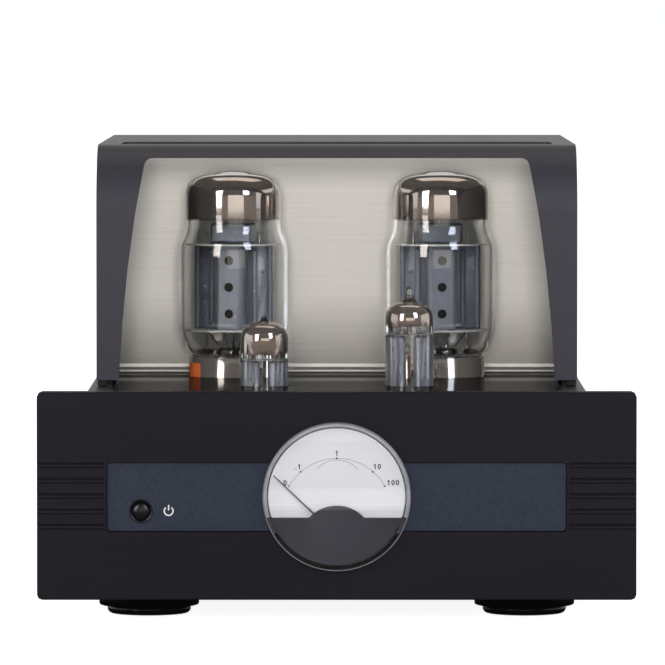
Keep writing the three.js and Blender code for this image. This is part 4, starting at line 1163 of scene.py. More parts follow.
@dataclass
class Studio:
    """The camera at the photograph's place, a white world and floor, soft boxes, and cards to mirror."""

    distance: float = 3200.0
    camera_height: float = 275.3
    camera_x: float = 1.5
    pan: float = 0.06
    tilt: float = 2.611
    focal: float = 393.0
    fill: float = 0.32
    glazed_fill: float = 1.6
    aim: Place = (0.0, -0.1, 0.13)
    floor_radius: float = 9.0
    floor_glow: float = 0.9

    def build(self) -> None:
        """Builds the camera, world, lamps, floor and cards."""
        self.camera()
        self.world()
        self.lamps()
        self.floor()
        self.cards()
        scene = bpy.context.scene
        scene.view_settings.view_transform = "Standard"

    def camera(self) -> None:
        """Places the camera, level but for a slight downward tilt."""
        data = bpy.data.cameras.new("camera")
        data.lens = self.focal
        data.sensor_width = 36
        data.clip_start = 0.1
        data.clip_end = 60
        camera = bpy.data.objects.new("camera", data)
        camera.location = (self.camera_x * MM, (PANEL_FACE - self.distance) * MM, self.camera_height * MM)
        camera.rotation_euler = (math.radians(90 - self.tilt), 0, math.radians(self.pan))
        bpy.context.scene.collection.objects.link(camera)
        bpy.context.scene.camera = camera

    def world(self) -> None:
        """A world that is white where it is seen, and a softer fill where it lights the object."""
        world = bpy.data.worlds.new("studio")
        bpy.context.scene.world = world
        world.use_nodes = True
        tree = world.node_tree
        tree.nodes.clear()
        strength = seen_white(tree, self.fill, 1.0, self.glazed_fill)
        light = add_node(tree, "ShaderNodeBackground", {"Color": (1, 1, 1, 1)}, {"Strength": strength})
        add_node(tree, "ShaderNodeOutputWorld", {}, {"Surface": light.outputs[0]})

    def lamps(self) -> None:
        """Soft boxes at the sides and above, to be mirrored, and one in front that lights the surfaces."""
        boxes = {
            "soft_box_left": SoftBox((-0.87, -1.22, 0.54), (0.4, 0.8), 9.6, "#fff8f2"),
            "soft_box_right": SoftBox((0.71, -1.2, 0.74), (0.36, 0.78), 8.9, "#e2eaff"),
            "soft_box_top": SoftBox((0.1, 0.8, 1.9), (1.5, 0.9), 5.0, "#fff6ee", lighting=True),
            "soft_box_front": SoftBox((0.0, -3.1, 0.46), (0.7, 0.7), 75.0, "#fffaf5", False, True),
        }
        for name, box in boxes.items():
            data = bpy.data.lights.new(name, "AREA")
            data.color = linear(box.colour)[:3]
            data.shape = "RECTANGLE"
            data.size, data.size_y = box.size
            data.energy = box.power
            lamp = bpy.data.objects.new(name, data)
            lamp.location = box.place
            way = Vector(self.aim) - Vector(box.place)
            lamp.rotation_euler = way.to_track_quat("-Z", "Y").to_euler()
            lamp.visible_camera = False
            lamp.visible_glossy = box.mirrored
            lamp.visible_transmission = box.mirrored
            lamp.visible_diffuse = box.lighting
            bpy.context.scene.collection.objects.link(lamp)

    def cards(self) -> None:
        """Dark, grey and pale cards, as a studio hangs them so that metal and glass show their form."""
        sheets = {
            "grey_card_low": Card((0, -4.4, 0.13), (14.0, 0.74), "#857c76", upright=True),
            "dark_card_front": Card((0, -4.4, 1.75), (14.0, 2.5), "#4a4542", upright=True),
            "dim_card_ceiling": Card((0, 0.2, 3.0), (14.0, 9.0), "#403c39"),
            "dark_card_floor": Card((0, -0.35, 0.0004), (12.0, 0.9), "#1e1c1c"),
            "pale_card": Card((0.12, -1.25, 0.232), (0.86, 0.196), "#f2eae2", 1.6, upright=True),
            "grey_card_floor": Card((0, -2.83, 0.0006), (14.0, 3.1), "#8a827c", 0.8),
            "pale_card_floor": Card((0.0, -1.05, 0.0006), (3.0, 0.4), "#efe6dd", 1.5),
        }
        for name, sheet in sheets.items():
            Bench.clear_selection()
            bpy.ops.mesh.primitive_plane_add(size=1, location=sheet.place)
            card = bpy.context.object
            card.name = name
            card.scale = (*sheet.size, 1)
            if sheet.upright:
                card.rotation_euler = (math.pi / 2, 0, 0)
            Bench.settle(card)
            card.data.materials.append(self.card_paper(name, sheet))
            card.visible_camera = False
            card.visible_diffuse = False
            card.visible_shadow = False

    def card_paper(self, name: str, sheet: Card) -> Material:
        """Card with a faint unevenness, which only a ray that some surface has mirrored meets.

        Args:
            name: The card's name.
            sheet: The card's colour and strength.

        Returns:
            The material.
        """
        material, tree = new_material(name)
        cells = object_pattern(tree, (900, 900, 900))
        noise = add_node(tree, "ShaderNodeTexNoise", {"Scale": 1.0}, {"Vector": cells})
        level = add_node(
            tree,
            "ShaderNodeMapRange",
            {"To Min": sheet.strength * 0.85, "To Max": sheet.strength * 1.15},
            {"Value": noise.outputs["Fac"]},
        )
        colour = linear(sheet.colour)
        glow = add_node(tree, "ShaderNodeEmission", {"Color": colour}, {"Strength": level.outputs[0]})
        path = add_node(tree, "ShaderNodeLightPath")
        # Glossy Depth stays above nought when the mirrored ray then goes through glass
        mirrored = add_node(
            tree, "ShaderNodeMath", {"operation": "GREATER_THAN", 1: 0.5}, {0: path.outputs["Glossy Depth"]}
        )
        clear = add_node(tree, "ShaderNodeBsdfTransparent")
        mixed = add_node(
            tree, "ShaderNodeMixShader", {}, {0: mirrored.outputs[0], 1: clear.outputs[0], 2: glow.outputs[0]}
        )
        add_node(tree, "ShaderNodeOutputMaterial", {}, {"Surface": mixed.outputs[0]})
        return material

    def floor(self) -> None:
        """A round white floor that shows white, and keeps the object's shadow."""
        Bench.clear_selection()
        bpy.ops.mesh.primitive_circle_add(vertices=96, radius=self.floor_radius, fill_type="NGON")
        floor = bpy.context.object
        floor.name = "floor"
        material, tree = new_material("pale_paper_floor")
        cells = object_pattern(tree, (400, 400, 400))
        noise = add_node(tree, "ShaderNodeTexNoise", {"Scale": 1.0, "Detail": 2.0}, {"Vector": cells})
        tone = add_node(
            tree,
            "ShaderNodeMix",
            {"data_type": "RGBA", 6: linear("#eceded"), 7: linear("#f3f3f3")},
            {0: noise.outputs["Fac"]},
        )
        paper = add_node(tree, "ShaderNodeBsdfDiffuse", {}, {"Color": tone.outputs[2]})
        strength = seen_white(tree, 0.0, self.floor_glow, 0.0)
        glow = add_node(tree, "ShaderNodeEmission", {"Color": (1, 1, 1, 1)}, {"Strength": strength})
        both = add_node(tree, "ShaderNodeAddShader", {}, {0: paper.outputs[0], 1: glow.outputs[0]})
        add_node(tree, "ShaderNodeOutputMaterial", {}, {"Surface": both.outputs[0]})
        floor.data.materials.append(material)


@dataclass
class Assembly:
    """A sub-assembly: pieces that share the finishes and ride on one body, unless a piece has its own."""

    finishes: Finishes

    @property
    def body(self) -> str:
        """The body that the pieces ride on."""
        return "chassis"

    def fit(self, piece: Piece, key: str, slot: str, *nodes: str, body: str = "") -> None:
        """Gives a piece one finish, lets it ride on a body, and hides the nodes that it stands for.

        Args:
            piece: The piece.
            key: The finish's short name.
            slot: Not used.
            *nodes: The nodes that it replaces.
            body: The piece's own body, where it doesn't ride on the sub-assembly's.
        """
        body = body or self.body
        piece.data.materials.clear()
        piece.data.materials.append(self.finishes[key])
        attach(piece, body)
        if nodes:
            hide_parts(*nodes)
        log.info("piece %s on %s", piece.name, body)


@dataclass
class FrontPanel(Assembly):
    """The thick front panel with its insert strips, the power button and the standby mark."""

    edge: float = 0.35
    mark_x: float = -74.3
    mark_z: float = 50.3
    mark_radius: float = 2.25
    mark_stroke: float = 0.62
    mark_gap: float = 38.0
    insert_face: float = -199.3
    insert_edge: float = 0.15

    def build(self) -> None:
        """Builds the panel's pieces."""
        panel = Bench.refined("front_panel_anodised", "front_panel", self.edge, 3)
        self.fit(panel, "panel", "panel", "front_panel")
        for side in Side:
            node = f"front_insert_{side.word}"
            strip = Bench.refined(f"{node}_lacquered", node, self.insert_edge)
            self.fit(strip, "insert", "insert", node)
        self.button()
        self.mark()

    def button(self) -> None:
        """The domed power button in its ring."""
        low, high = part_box("power_button")
        x = (low.x + high.x) / 2 / MM
        z = (low.z + high.z) / 2 / MM
        front = low.y / MM
        radius = (high.x - low.x) / 2 / MM
        dome = [(0, 0)] + [
            (radius * 0.9 * math.sin(a), 1.25 * (1 - math.cos(a)))
            for a in (math.radians(d) for d in range(8, 89, 8))
        ]
        dome += [(radius * 0.97, 1.5), (radius, 1.9), (radius, 8.9), (radius - 0.3, 9.2)]
        plunger = [(2.0, 9.2), (2.0, 20.0), (0, 20.8)]
        cap = Bench.turned("power_button_cap", dome + plunger, (x, front, z), Axis.Y, 48)
        self.fit(cap, "black_plastic", "black_plastic", "power_button", body="power_button")
        ring_low, ring_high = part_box("button_bezel")
        outer = (ring_high.x - ring_low.x) / 2 / MM
        ring_front = ring_low.y / MM
        outline = [
            (radius + 0.2, 1.0), (radius + 0.35, 0.25), (radius + 0.7, 0.0), (outer - 0.3, 0.0),
            (outer, 0.3), (outer, 1.0), (radius + 0.6, 1.0), (radius + 0.6, 10.0),
            (radius + 0.2, 10.0), (radius + 0.2, 1.0),
        ]
        ring = Bench.turned("button_ring", outline, (x, ring_front, z), Axis.Y, 48)
        self.fit(ring, "black_plastic", "black_plastic", "button_bezel")

    def mark(self) -> None:
        """The printed standby mark: a ring with a gap and a short bar."""
        Bench.clear_selection()
        bpy.ops.mesh.primitive_circle_add(vertices=64, radius=self.mark_radius * MM, fill_type="NOTHING")
        ring = bpy.context.object
        ring.name = "standby_ring"
        bpy.ops.object.mode_set(mode="EDIT")
        bpy.ops.mesh.select_all(action="SELECT")
        bpy.ops.mesh.extrude_edges_move(TRANSFORM_OT_translate={"value": (0, 0, 0)})
        inner = 1 - self.mark_stroke / self.mark_radius
        bpy.ops.transform.resize(value=(inner, inner, 1))
        cells = bmesh.from_edit_mesh(ring.data)
        for face in cells.faces:
            middle = face.calc_center_median()
            face.select = abs(math.degrees(math.atan2(middle.x, middle.y))) < self.mark_gap
        bmesh.update_edit_mesh(ring.data)
        bpy.ops.mesh.delete(type="FACE")
        bpy.ops.object.mode_set(mode="OBJECT")
        Bench.apply(ring, "SOLIDIFY", thickness=0.03 * MM, offset=0)
        half = self.mark_stroke / 2
        bar = Bench.bar("standby_bar", (-half, 0.3, -0.015), (half, self.mark_radius + 0.4, 0.015), 0.0)
        mark = Bench.join("standby_mark", [ring, bar])
        turn = Matrix.Rotation(math.pi / 2, 4, "X")
        place = Vector((self.mark_x, self.insert_face - 0.02, self.mark_z)) * MM
        mark.data.transform(Matrix.Translation(place) @ turn)
        self.fit(mark, "print_pale", "dial_mask")


@dataclass
class Meter(Assembly):
    """The round meter: clear cover, dial with its scale, mask and needle."""

    centre_z: float = 57.0
    dial_face: float = -202.4
    scale_z: float = 49.5
    scale_radius: float = 24.3
    scale_half_angle: float = 60.4
    line: float = 0.2
    digit_height: float = 2.35
    digit_width: float = 1.5
    digit_pitch: float = 1.95
    stroke: float = 0.46
    trim_centre: Point = (0.2, 61.2)
    trim_radius: float = 11.9
    trim_half_angle: float = 50.0
    mask_edge: float = 0.12
    rim_half_angle: float = 107.0
    rim_width: float = 2.6

    def build(self) -> None:
        """Builds the meter's pieces."""
        self.cover()
        self.scale()
        for node, key in {
            "meter_case": "black_plastic",
            "meter_dial": "dial_white",
            "meter_movement": "brass",
            "meter_needle": "needle",
        }.items():
            self.finishes.dress_node(node, key)
        mask = Bench.refined("meter_mask_moulded", "meter_mask", self.mask_edge)
        self.fit(mask, "dial_mask", "dial_mask", "meter_mask")

    def cover(self) -> None:
        """The clear cover: a cup with a rounded rim and a flat front, its satin edge, and the dial's rim."""
        low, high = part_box("meter_lens")
        radius = (high.x - low.x) / 2 / MM
        front = low.y / MM
        depth = (high.y - low.y) / MM
        inner = radius - 2
        side = radius - 0.06
        outline = [(0, 0), (side - 0.7, 0)]
        outline += curve((side - 0.7, 0), (side, 0), (side, 0.9), 5)
        outline += [(side, depth), (inner, depth), (inner, 2.4)]
        outline += curve((inner, 2.4), (inner, 1.6), (inner - 1.2, 1.6), 4)
        outline += [(0, 1.6)]
        place = (0, front, self.centre_z)
        cover = Bench.turned("meter_cover_clear", outline, place, Axis.Y, 128)
        self.fit(cover, "clear_cover", "clear_cover", "meter_lens")
        start = (side - 0.4, 0.02)
        line = [start, *curve(start, (radius, 0.02), (radius, 0.9), 5), (radius, 2.0)]
        back = [(r - 0.1, z + 0.08) for r, z in line][::-1]
        edge = Bench.turned("meter_cover_edge", line + back + line[:1], place, Axis.Y, 128)
        self.fit(edge, "cover_edge", "clear_cover")
        reach, width = self.rim_half_angle, self.rim_width
        ring = self.arc("meter_dial_rim", (0, self.centre_z), radius - 1.5, reach, width)
        ring.data.transform(Matrix.Translation((0, 0.95 * MM, 0)))
        self.fit(ring, "print_pale", "dial_white")

    def arc(self, name: str, centre: Point, radius: float, half_angle: float, width: float) -> Piece:
        """A thin printed arc on the dial.

        Args:
            name: The arc's name.
            centre: x and z of its centre in mm.
            radius: Its radius in mm.
            half_angle: Its reach to either side of the top, in degrees.
            width: The line's width in mm.

        Returns:
            The arc, flat on the dial.
        """
        piece = Bench.point(name)
        first = Vector((-math.sin(math.radians(half_angle)), math.cos(math.radians(half_angle)), 0))
        bpy.ops.transform.translate(value=first * (radius - width / 2) * MM)
        bpy.ops.mesh.extrude_vertices_move(TRANSFORM_OT_translate={"value": first * width * MM})
        bpy.ops.mesh.select_all(action="SELECT")
        bpy.ops.mesh.spin(steps=48, angle=math.radians(2 * half_angle), center=(0, 0, 0), axis=(0, 0, 1))
        bpy.ops.object.mode_set(mode="OBJECT")
        self.on_dial(piece, centre)
        return piece

    def on_dial(self, piece: Piece, centre: Point) -> None:
        """Stands a flat piece up on the dial and gives it the thickness of ink.

        Args:
            piece: The flat piece, drawn in x and y round its own origin.
            centre: x and z of its place on the dial, in mm.
        """
        Bench.settle(piece)
        Bench.apply(piece, "SOLIDIFY", thickness=0.02 * MM, offset=0)
        place = Vector((centre[0], self.dial_face - 0.03, centre[1])) * MM
        piece.data.transform(Matrix.Translation(place) @ Matrix.Rotation(math.pi / 2, 4, "X"))

    def spot(self, x: float, z: float, radius: float) -> Piece:
        """A round printed mark.

        Args:
            x: The x of its middle, in mm.
            z: The height of its middle, in mm.
            radius: Its radius in mm.

        Returns:
            The mark.
        """
        Bench.clear_selection()
        bpy.ops.mesh.primitive_circle_add(vertices=20, radius=radius * MM, fill_type="NGON")
        piece = bpy.context.object
        self.on_dial(piece, (x, z))
        return piece

    def dot(self, angle: float, radius: float) -> Piece:
        """A round mark on the scale's arc.

        Args:
            angle: Its place on the arc, in degrees to the right of the top.
            radius: Its radius in mm.

        Returns:
            The dot.
        """
        x = self.scale_radius * math.sin(math.radians(angle))
        z = self.scale_z + self.scale_radius * math.cos(math.radians(angle))
        return self.spot(x, z, radius)

    def zero(self) -> Piece:
        """A printed nought: an oval ring.

        Returns:
            The digit, flat round its own origin.
        """
        Bench.clear_selection()
        bpy.ops.mesh.primitive_circle_add(vertices=28, radius=1, fill_type="NOTHING")
        piece = bpy.context.object
        half_width, half_height = self.digit_width / 2, self.digit_height / 2
        piece.scale = (half_width * MM, half_height * MM, 1)
        Bench.settle(piece)
        bpy.ops.object.mode_set(mode="EDIT")
        bpy.ops.mesh.select_all(action="SELECT")
        bpy.ops.mesh.extrude_edges_move(TRANSFORM_OT_translate={"value": (0, 0, 0)})
        shrink = (1 - self.stroke / half_width, 1 - self.stroke / half_height, 1)
        bpy.ops.transform.resize(value=shrink)
        bpy.ops.object.mode_set(mode="OBJECT")
        return piece

    def one(self) -> Piece:
        """A printed one: an upright with a short flag.

        Returns:
            The digit, flat round its own origin.
        """
        half = self.digit_height / 2
        stem = Bench.flat_strip("stem", [(0.12, -half), (0.12, half)], self.stroke)
        flag = Bench.flat_strip("flag", [(-0.5, half - 0.75), (0.1, half - 0.14)], self.stroke * 0.75)
        return Bench.join("one", [stem, flag])

    def number(self, text: str, x: float, z: float) -> list[Piece]:
        """A printed number of noughts and ones, with a point if it has one.

        Args:
            text: The number.
            x: The x of its middle, in mm.
            z: The height of its middle, in mm.

        Returns:
            Its digits as meshes.
        """
        digits = []
        start = x - (len(text) - 1) / 2 * self.digit_pitch
        for i, sign in enumerate(text):
            middle = start + i * self.digit_pitch
            if sign == ".":
                digits.append(self.spot(middle + 0.45, z - self.digit_height / 2 + 0.2, 0.26))
                continue
            digit = self.zero() if sign == "0" else self.one()
            self.on_dial(digit, (middle, z))
            digits.append(digit)
        return digits

    def scale(self) -> None:
        """The printed scale: one long arc with dots and numbers, and a short arc inside it."""
        arcs = [
            self.arc("scale_arc", (0.2, self.scale_z), self.scale_radius, self.scale_half_angle, self.line),
            self.arc("trim_arc", self.trim_centre, self.trim_radius, self.trim_half_angle, self.line),
        ]
        lines = Bench.join("meter_scale_lines", arcs)
        self.fit(lines, "print_grey", "dial_mask")
        dots = ((-60.4, 0.35), (-41, 0.45), (0, 0.45), (41, 0.45), (60.4, 0.4))
        marks = [self.dot(angle, radius) for angle, radius in dots]
        numbers = {
            "0": (-22.7, 63.0),
            ".1": (-17.5, 70.1),
            "1": (0.0, 76.0),
            "10": (17.8, 70.2),
            "100": (24.8, 63.1),
        }
        for text, (x, z) in numbers.items():
            marks += self.number(text, x, z)
        printed = Bench.join("meter_scale_numbers", marks)
        self.fit(printed, "print_dark", "dial_mask")


@dataclass(kw_only=True)
class Tube(Assembly):
    """What both kinds of tube share: a body of their own, an axis on the deck and a mirror in the dome."""

    side: Side
    kind: str
    x: float
    y: float
    turn: float = 0.0

    @property
    def body(self) -> str:
        """The body that the tube's pieces ride on."""
        return f"{self.kind}_{self.side.word}"

    @property
    def centre(self) -> Place:
        """The point of the tube's axis at the top of the deck, in mm."""
        return (self.side.value * self.x, self.y, DECK_TOP)

    def turned_parts(self, name: str, pieces: list[Piece]) -> Piece:
        """Joins pieces drawn round the deck's origin, and turns and moves them to the tube.

        Args:
            name: What the joined piece is called after the tube's own name.
            pieces: The pieces.

        Returns:
            The joined piece in its place.
        """
        joined = Bench.join(f"{self.body}_{name}", pieces)
        turn = Matrix.Rotation(math.radians(self.turn), 4, "Z")
        joined.data.transform(Matrix.Translation(Vector(self.centre) * MM) @ turn)
        return joined

    def mirror(self, line: list[Point], thickness: float, finish: GetterFinish, steps: int) -> None:
        """Adds the getter's mirror, a film inside the dome.

        Args:
            line: The film's outer points from its lower edge to the top.
            thickness: Its thickness in mm, thicker than the real one so that it has two sides.
            finish: Its finish, which is built if no tube has it yet.
            steps: The number of faces round it.
        """
        back = [(max(r - thickness, 0.0), z - thickness) for r, z in line][::-1]
        film = Bench.turned(f"{self.body}_getter_mirror", line + back + line[:1], self.centre, Axis.Z, steps)
        if finish.name not in self.finishes.by_name:
            self.finishes.by_name[finish.name] = finish.make()
        self.fit(film, finish.name, "steel")


@dataclass(kw_only=True)
class PowerTube(Tube):
    """A large power tube: metal base, glass bulb, getter mirror, anode, spacers and stem."""

    label_angles: Point
    label_heights: Point
    kind: str = "power_tube"
    x: float = 48.25
    y: float = -20.3
    wall: float = 2.0
    foot_radius: float = 18.9
    belly_radius: float = 25.6
    dome_radius: float = 22.3
    base_radius: float = 20.5
    film_depth: float = 0.35
    film_edge: float = 72.6
    anode_heights: Point = (22.0, 61.0)
    barrel_half: Point = (7.0, 8.5)
    wing_reach: float = 18.7
    edge_radius: float = 1.2
    bead_offset: float = 10.4
    bead_radius: float = 1.5
    crimp_offset: float = 14.2
    hole_radius: float = 2.15
    hole_pitch: float = 12.4
    spacer_radius: float = 21.6
    tooth_radius: float = 22.1

    def build(self) -> None:
        """Builds the tube's pieces."""
        self.bulb()
        self.base()
        self.electrodes()
        self.finishes.dress_node(f"{self.body}_pins", "brass")

    def outline(self) -> list[Point]:
        """The bulb's outer points from its foot to the top of the dome.

        Returns:
            Radius and height above the deck of each point.
        """
        foot, belly, dome = self.foot_radius, self.belly_radius, self.dome_radius
        points = [(foot, -9.0), (foot, 9.5)]
        points += curve((foot, 9.5), (belly, 13.0), (belly, 26.0), 14)
        points += [(belly, 42.0), (belly, 57.9)]
        points += shoulder((belly, 57.9), (dome, 71.9), 12)
        points += [(dome, 78.0), (dome, 84.0)]
        points += curve((dome, 84.0), (dome, 92.6), (12.0, 94.2), 12)
        points += curve((12.0, 94.2), (6.0, 95.8), (0.0, 95.8), 5)
        return points

    def bulb(self) -> None:
        """The glass bulb, a closed wall, and the mirror inside its dome."""
        outer = self.outline()
        inner = inner_wall(outer, self.wall)
        glass = Bench.turned(f"{self.body}_glass", outer + inner[::-1] + outer[:1], self.centre, Axis.Z, 96)
        self.fit(glass, "tube_glass", "tube_glass", f"{self.body}_bulb")
        film = [(self.dome_radius - self.film_depth, self.film_edge)]
        film += [p for p in inner_wall(outer, self.film_depth) if p[1] > self.film_edge + 0.1]
        finish = GetterFinish("barium_getter_mirror", DECK_TOP + self.film_edge + 0.6, 1.6)
        self.mirror(film, 0.12, finish, 96)

    def base(self) -> None:
        """The plated base with a rolled lip, and the blank label on it."""
        lip = [(19.2, 8.7), (19.5, 9.2), (20.1, 9.2), (self.base_radius, 8.7)]
        floor = [(self.base_radius, -14.4), (19.9, -15.0), (0, -15.0), (0, -11.3), (19.2, -11.3)]
        metal = Bench.turned(f"{self.body}_plated_base", lip + floor + lip[:1], self.centre, Axis.Z, 96)
        self.fit(metal, "tube_base", "tube_base", f"{self.body}_base")
        label = Bench.point(f"{self.body}_label")
        low, high = self.label_heights
        first, last = (math.radians(a) for a in self.label_angles)
        start = Vector((math.sin(first), -math.cos(first), 0)) * (self.base_radius + 0.04) * MM
        bpy.ops.transform.translate(value=(start.x, start.y, low * MM))
        bpy.ops.mesh.extrude_vertices_move(TRANSFORM_OT_translate={"value": (0, 0, (high - low) * MM)})
        bpy.ops.mesh.select_all(action="SELECT")
        bpy.ops.mesh.spin(steps=10, angle=first - last, center=(0, 0, 0), axis=(0, 0, 1))
        bpy.ops.object.mode_set(mode="OBJECT")
        Bench.apply(label, "SOLIDIFY", thickness=0.08 * MM, offset=0)
        label.data.transform(Matrix.Translation(Vector(self.centre) * MM))
        Bench.smooth(label)
        self.fit(label, "label", "black_plastic")

    def electrodes(self) -> None:
        """The anode with its holes and wings, two spacers, the shield, the getter and the stem."""
        parts = [self.barrel()]
        for way in (-1, 1):
            parts += self.wing(way)
        shield = Bench.bar("shield", (-9.65, -6, 61.9), (9.65, 6, 71.2), 0.0)
        Bench.round_edges(shield, 1.2, 4)
        parts.append(Bench.smooth(shield))
        anode = self.turned_parts("anode", parts)
        self.fit(anode, "electrode", "electrode", f"{self.body}_electrodes")
        width, depth = (half - 1.3 for half in self.barrel_half)
        low, high = self.anode_heights
        cage = Bench.bar("cage", (-width, -depth, low + 0.5), (width, depth, high - 0.5), 1.2, 4)
        self.fit(self.turned_parts("grid_cage", [cage]), "carbon", "electrode")
        self.spacers()
        self.metal_parts()
        self.stem()

    def barrel(self) -> Piece:
        """The middle of the anode: an open box with round corners and three holes at the front and back.

        Returns:
            The barrel, round the tube's axis.
        """
        low, high = self.anode_heights
        half_width, half_depth = self.barrel_half
        barrel = Bench.bar("barrel", (-half_width, -half_depth, low), (half_width, half_depth, high), 0.0)
        Bench.open_edit(barrel, "EDGE", lambda edge: abs(edge.verts[0].co.z - edge.verts[1].co.z) > 10 * MM)
        bpy.ops.mesh.bevel(offset=2.4 * MM, segments=6, affect="EDGES")
        bpy.ops.object.mode_set(mode="OBJECT")
        Bench.open_edit(barrel, "FACE", lambda face: abs(face.normal.z) > 0.9)
        bpy.ops.mesh.delete(type="ONLY_FACE")
        bpy.ops.object.mode_set(mode="OBJECT")
        Bench.apply(barrel, "SOLIDIFY", thickness=0.7 * MM, offset=-1)
        middle = (low + high) / 2
        for step in (-1, 0, 1):
            for front in (-1, 1):
                ring = [(0, -2), (self.hole_radius, -2), (self.hole_radius, 2), (0, 2)]
                place = (0, front * (half_depth - 0.3), middle + step * self.hole_pitch)
                Bench.cut(barrel, Bench.turned("drill", ring, place, Axis.Y, 28))
        return Bench.smooth(barrel)

    def wing(self, way: int) -> list[Piece]:
        """One wing of the anode: a plate with a rolled edge, a pressed bead and five crimps.

        Args:
            way: -1 for the left wing and 1 for the right one.

        Returns:
            The wing's pieces, round the tube's axis.
        """
        low, high = self.anode_heights
        near, far = self.barrel_half[0] - 0.5, self.wing_reach
        across = sorted((way * near, way * far))
        plate = Bench.bar("wing", (across[0], -0.5, low), (across[1], 0.5, high), 0.2)
        edge = way * (far - self.edge_radius)
        bead = way * self.bead_offset
        pieces = [
            plate,
            Bench.rod("edge", (edge, 0, low), (edge, 0, high), self.edge_radius, 20),
            Bench.rod("bead", (bead, 0, low + 2), (bead, 0, high - 2), self.bead_radius, 20),
        ]
        for i in range(5):
            height = low + 5 + i * (high - low - 10) / 4
            crimp = [(0, -1.0), (0.5, -0.95), (0.85, -0.6), (0.85, 0.6), (0.5, 0.95), (0, 1.0)]
            pieces.append(Bench.turned("crimp", crimp, (way * self.crimp_offset, 0, height), Axis.Y, 14))
        return pieces

    def spacers(self) -> None:
        """Two mica discs with a toothed rim."""
        discs = []
        for low in (21.2, 61.0):
            outline = [(0, 0), (self.spacer_radius, 0), (self.spacer_radius, 0.6), (0, 0.6)]
            discs.append(Bench.turned("disc", outline, (0, 0, low), Axis.Z, 72))
        reach = self.tooth_radius / self.spacer_radius
        for disc in discs:
            for vertex in disc.data.vertices:
                angle = math.atan2(vertex.co.y, vertex.co.x)
                radius = math.hypot(vertex.co.x, vertex.co.y)
                if radius > 20 * MM and round(math.degrees(angle) / 5) % 3 == 0:
                    vertex.co.x *= reach
                    vertex.co.y *= reach
        self.fit(self.turned_parts("spacers", discs), "mica", "ceramic")

    def metal_parts(self) -> None:
        """The grid rods and posts that stand out of the spacers, the getter ring and its post."""
        parts = []
        for x, y in ((-5, 0), (5, 0), (-5, 3.2), (5, 3.2), (0, -4.4), (0, 4.4)):
            parts.append(Bench.rod("rod", (x, y, 14), (x, y, 22), 0.45))
        for x in (-12.6, 12.6):
            parts.append(Bench.rod("post", (x, 0, 61.5), (x, 0, 66.5), 0.5))
            parts.append(Bench.rod("post", (x, 0, 13), (x, 0, 22), 0.5))
        parts.append(Bench.rod("getter_post", (0, 3, 71), (0, 3, 79.6), 0.5))
        ring = [(4.2, -0.6), (5.0, -0.6), (5.0, 0.6), (4.2, 0.6), (4.2, -0.6)]
        parts.append(Bench.turned("getter_ring", ring, (0, 0, 80), Axis.Z, 32))
        self.fit(self.turned_parts("inner_metal", parts), "nickel", "electrode")

    def stem(self) -> None:
        """The glass stem with its flat pinch, and the wires that leave it."""
        flare = [(17.3, -8.0), (15.0, -5.0), (10.0, -1.5), (7.6, 2.0)]
        neck = [(6.6, 6.0), (5.6, 11.0), (4.6, 12.4), (0, 12.8)]
        under = [(0, 11.4), (3.6, 11.0), (5.4, 5.5), (6.4, 1.2), (9.0, -2.6), (14.2, -6.4), (17.3, -8.0)]
        glass = Bench.turned("stem", flare + neck + under, (0, 0, 0), Axis.Z, 48)
        for vertex in glass.data.vertices:
            share = min(max((vertex.co.z / MM - 1.0) / 8.0, 0.0), 1.0)
            vertex.co.y *= 1 - 0.45 * share
            vertex.co.x *= 1 + 0.35 * share
        self.fit(self.turned_parts("stem", [glass]), "tube_glass", "tube_glass")
        ways = (
            ((-5, 0, 11), (-12.6, 0, 21)), ((5, 0, 11), (12.6, 0, 21)),
            ((-2.4, 0, 12), (-5, 0, 21)), ((2.4, 0, 12), (5, 0, 21)),
            ((0, 0.6, 12), (0, 4.4, 21)), ((0, -0.6, 12), (0, -4.4, 21)),
        )
        wires = [Bench.rod("wire", start, end, 0.32, 8) for start, end in ways]
        self.fit(self.turned_parts("leads", wires), "nickel", "electrode")


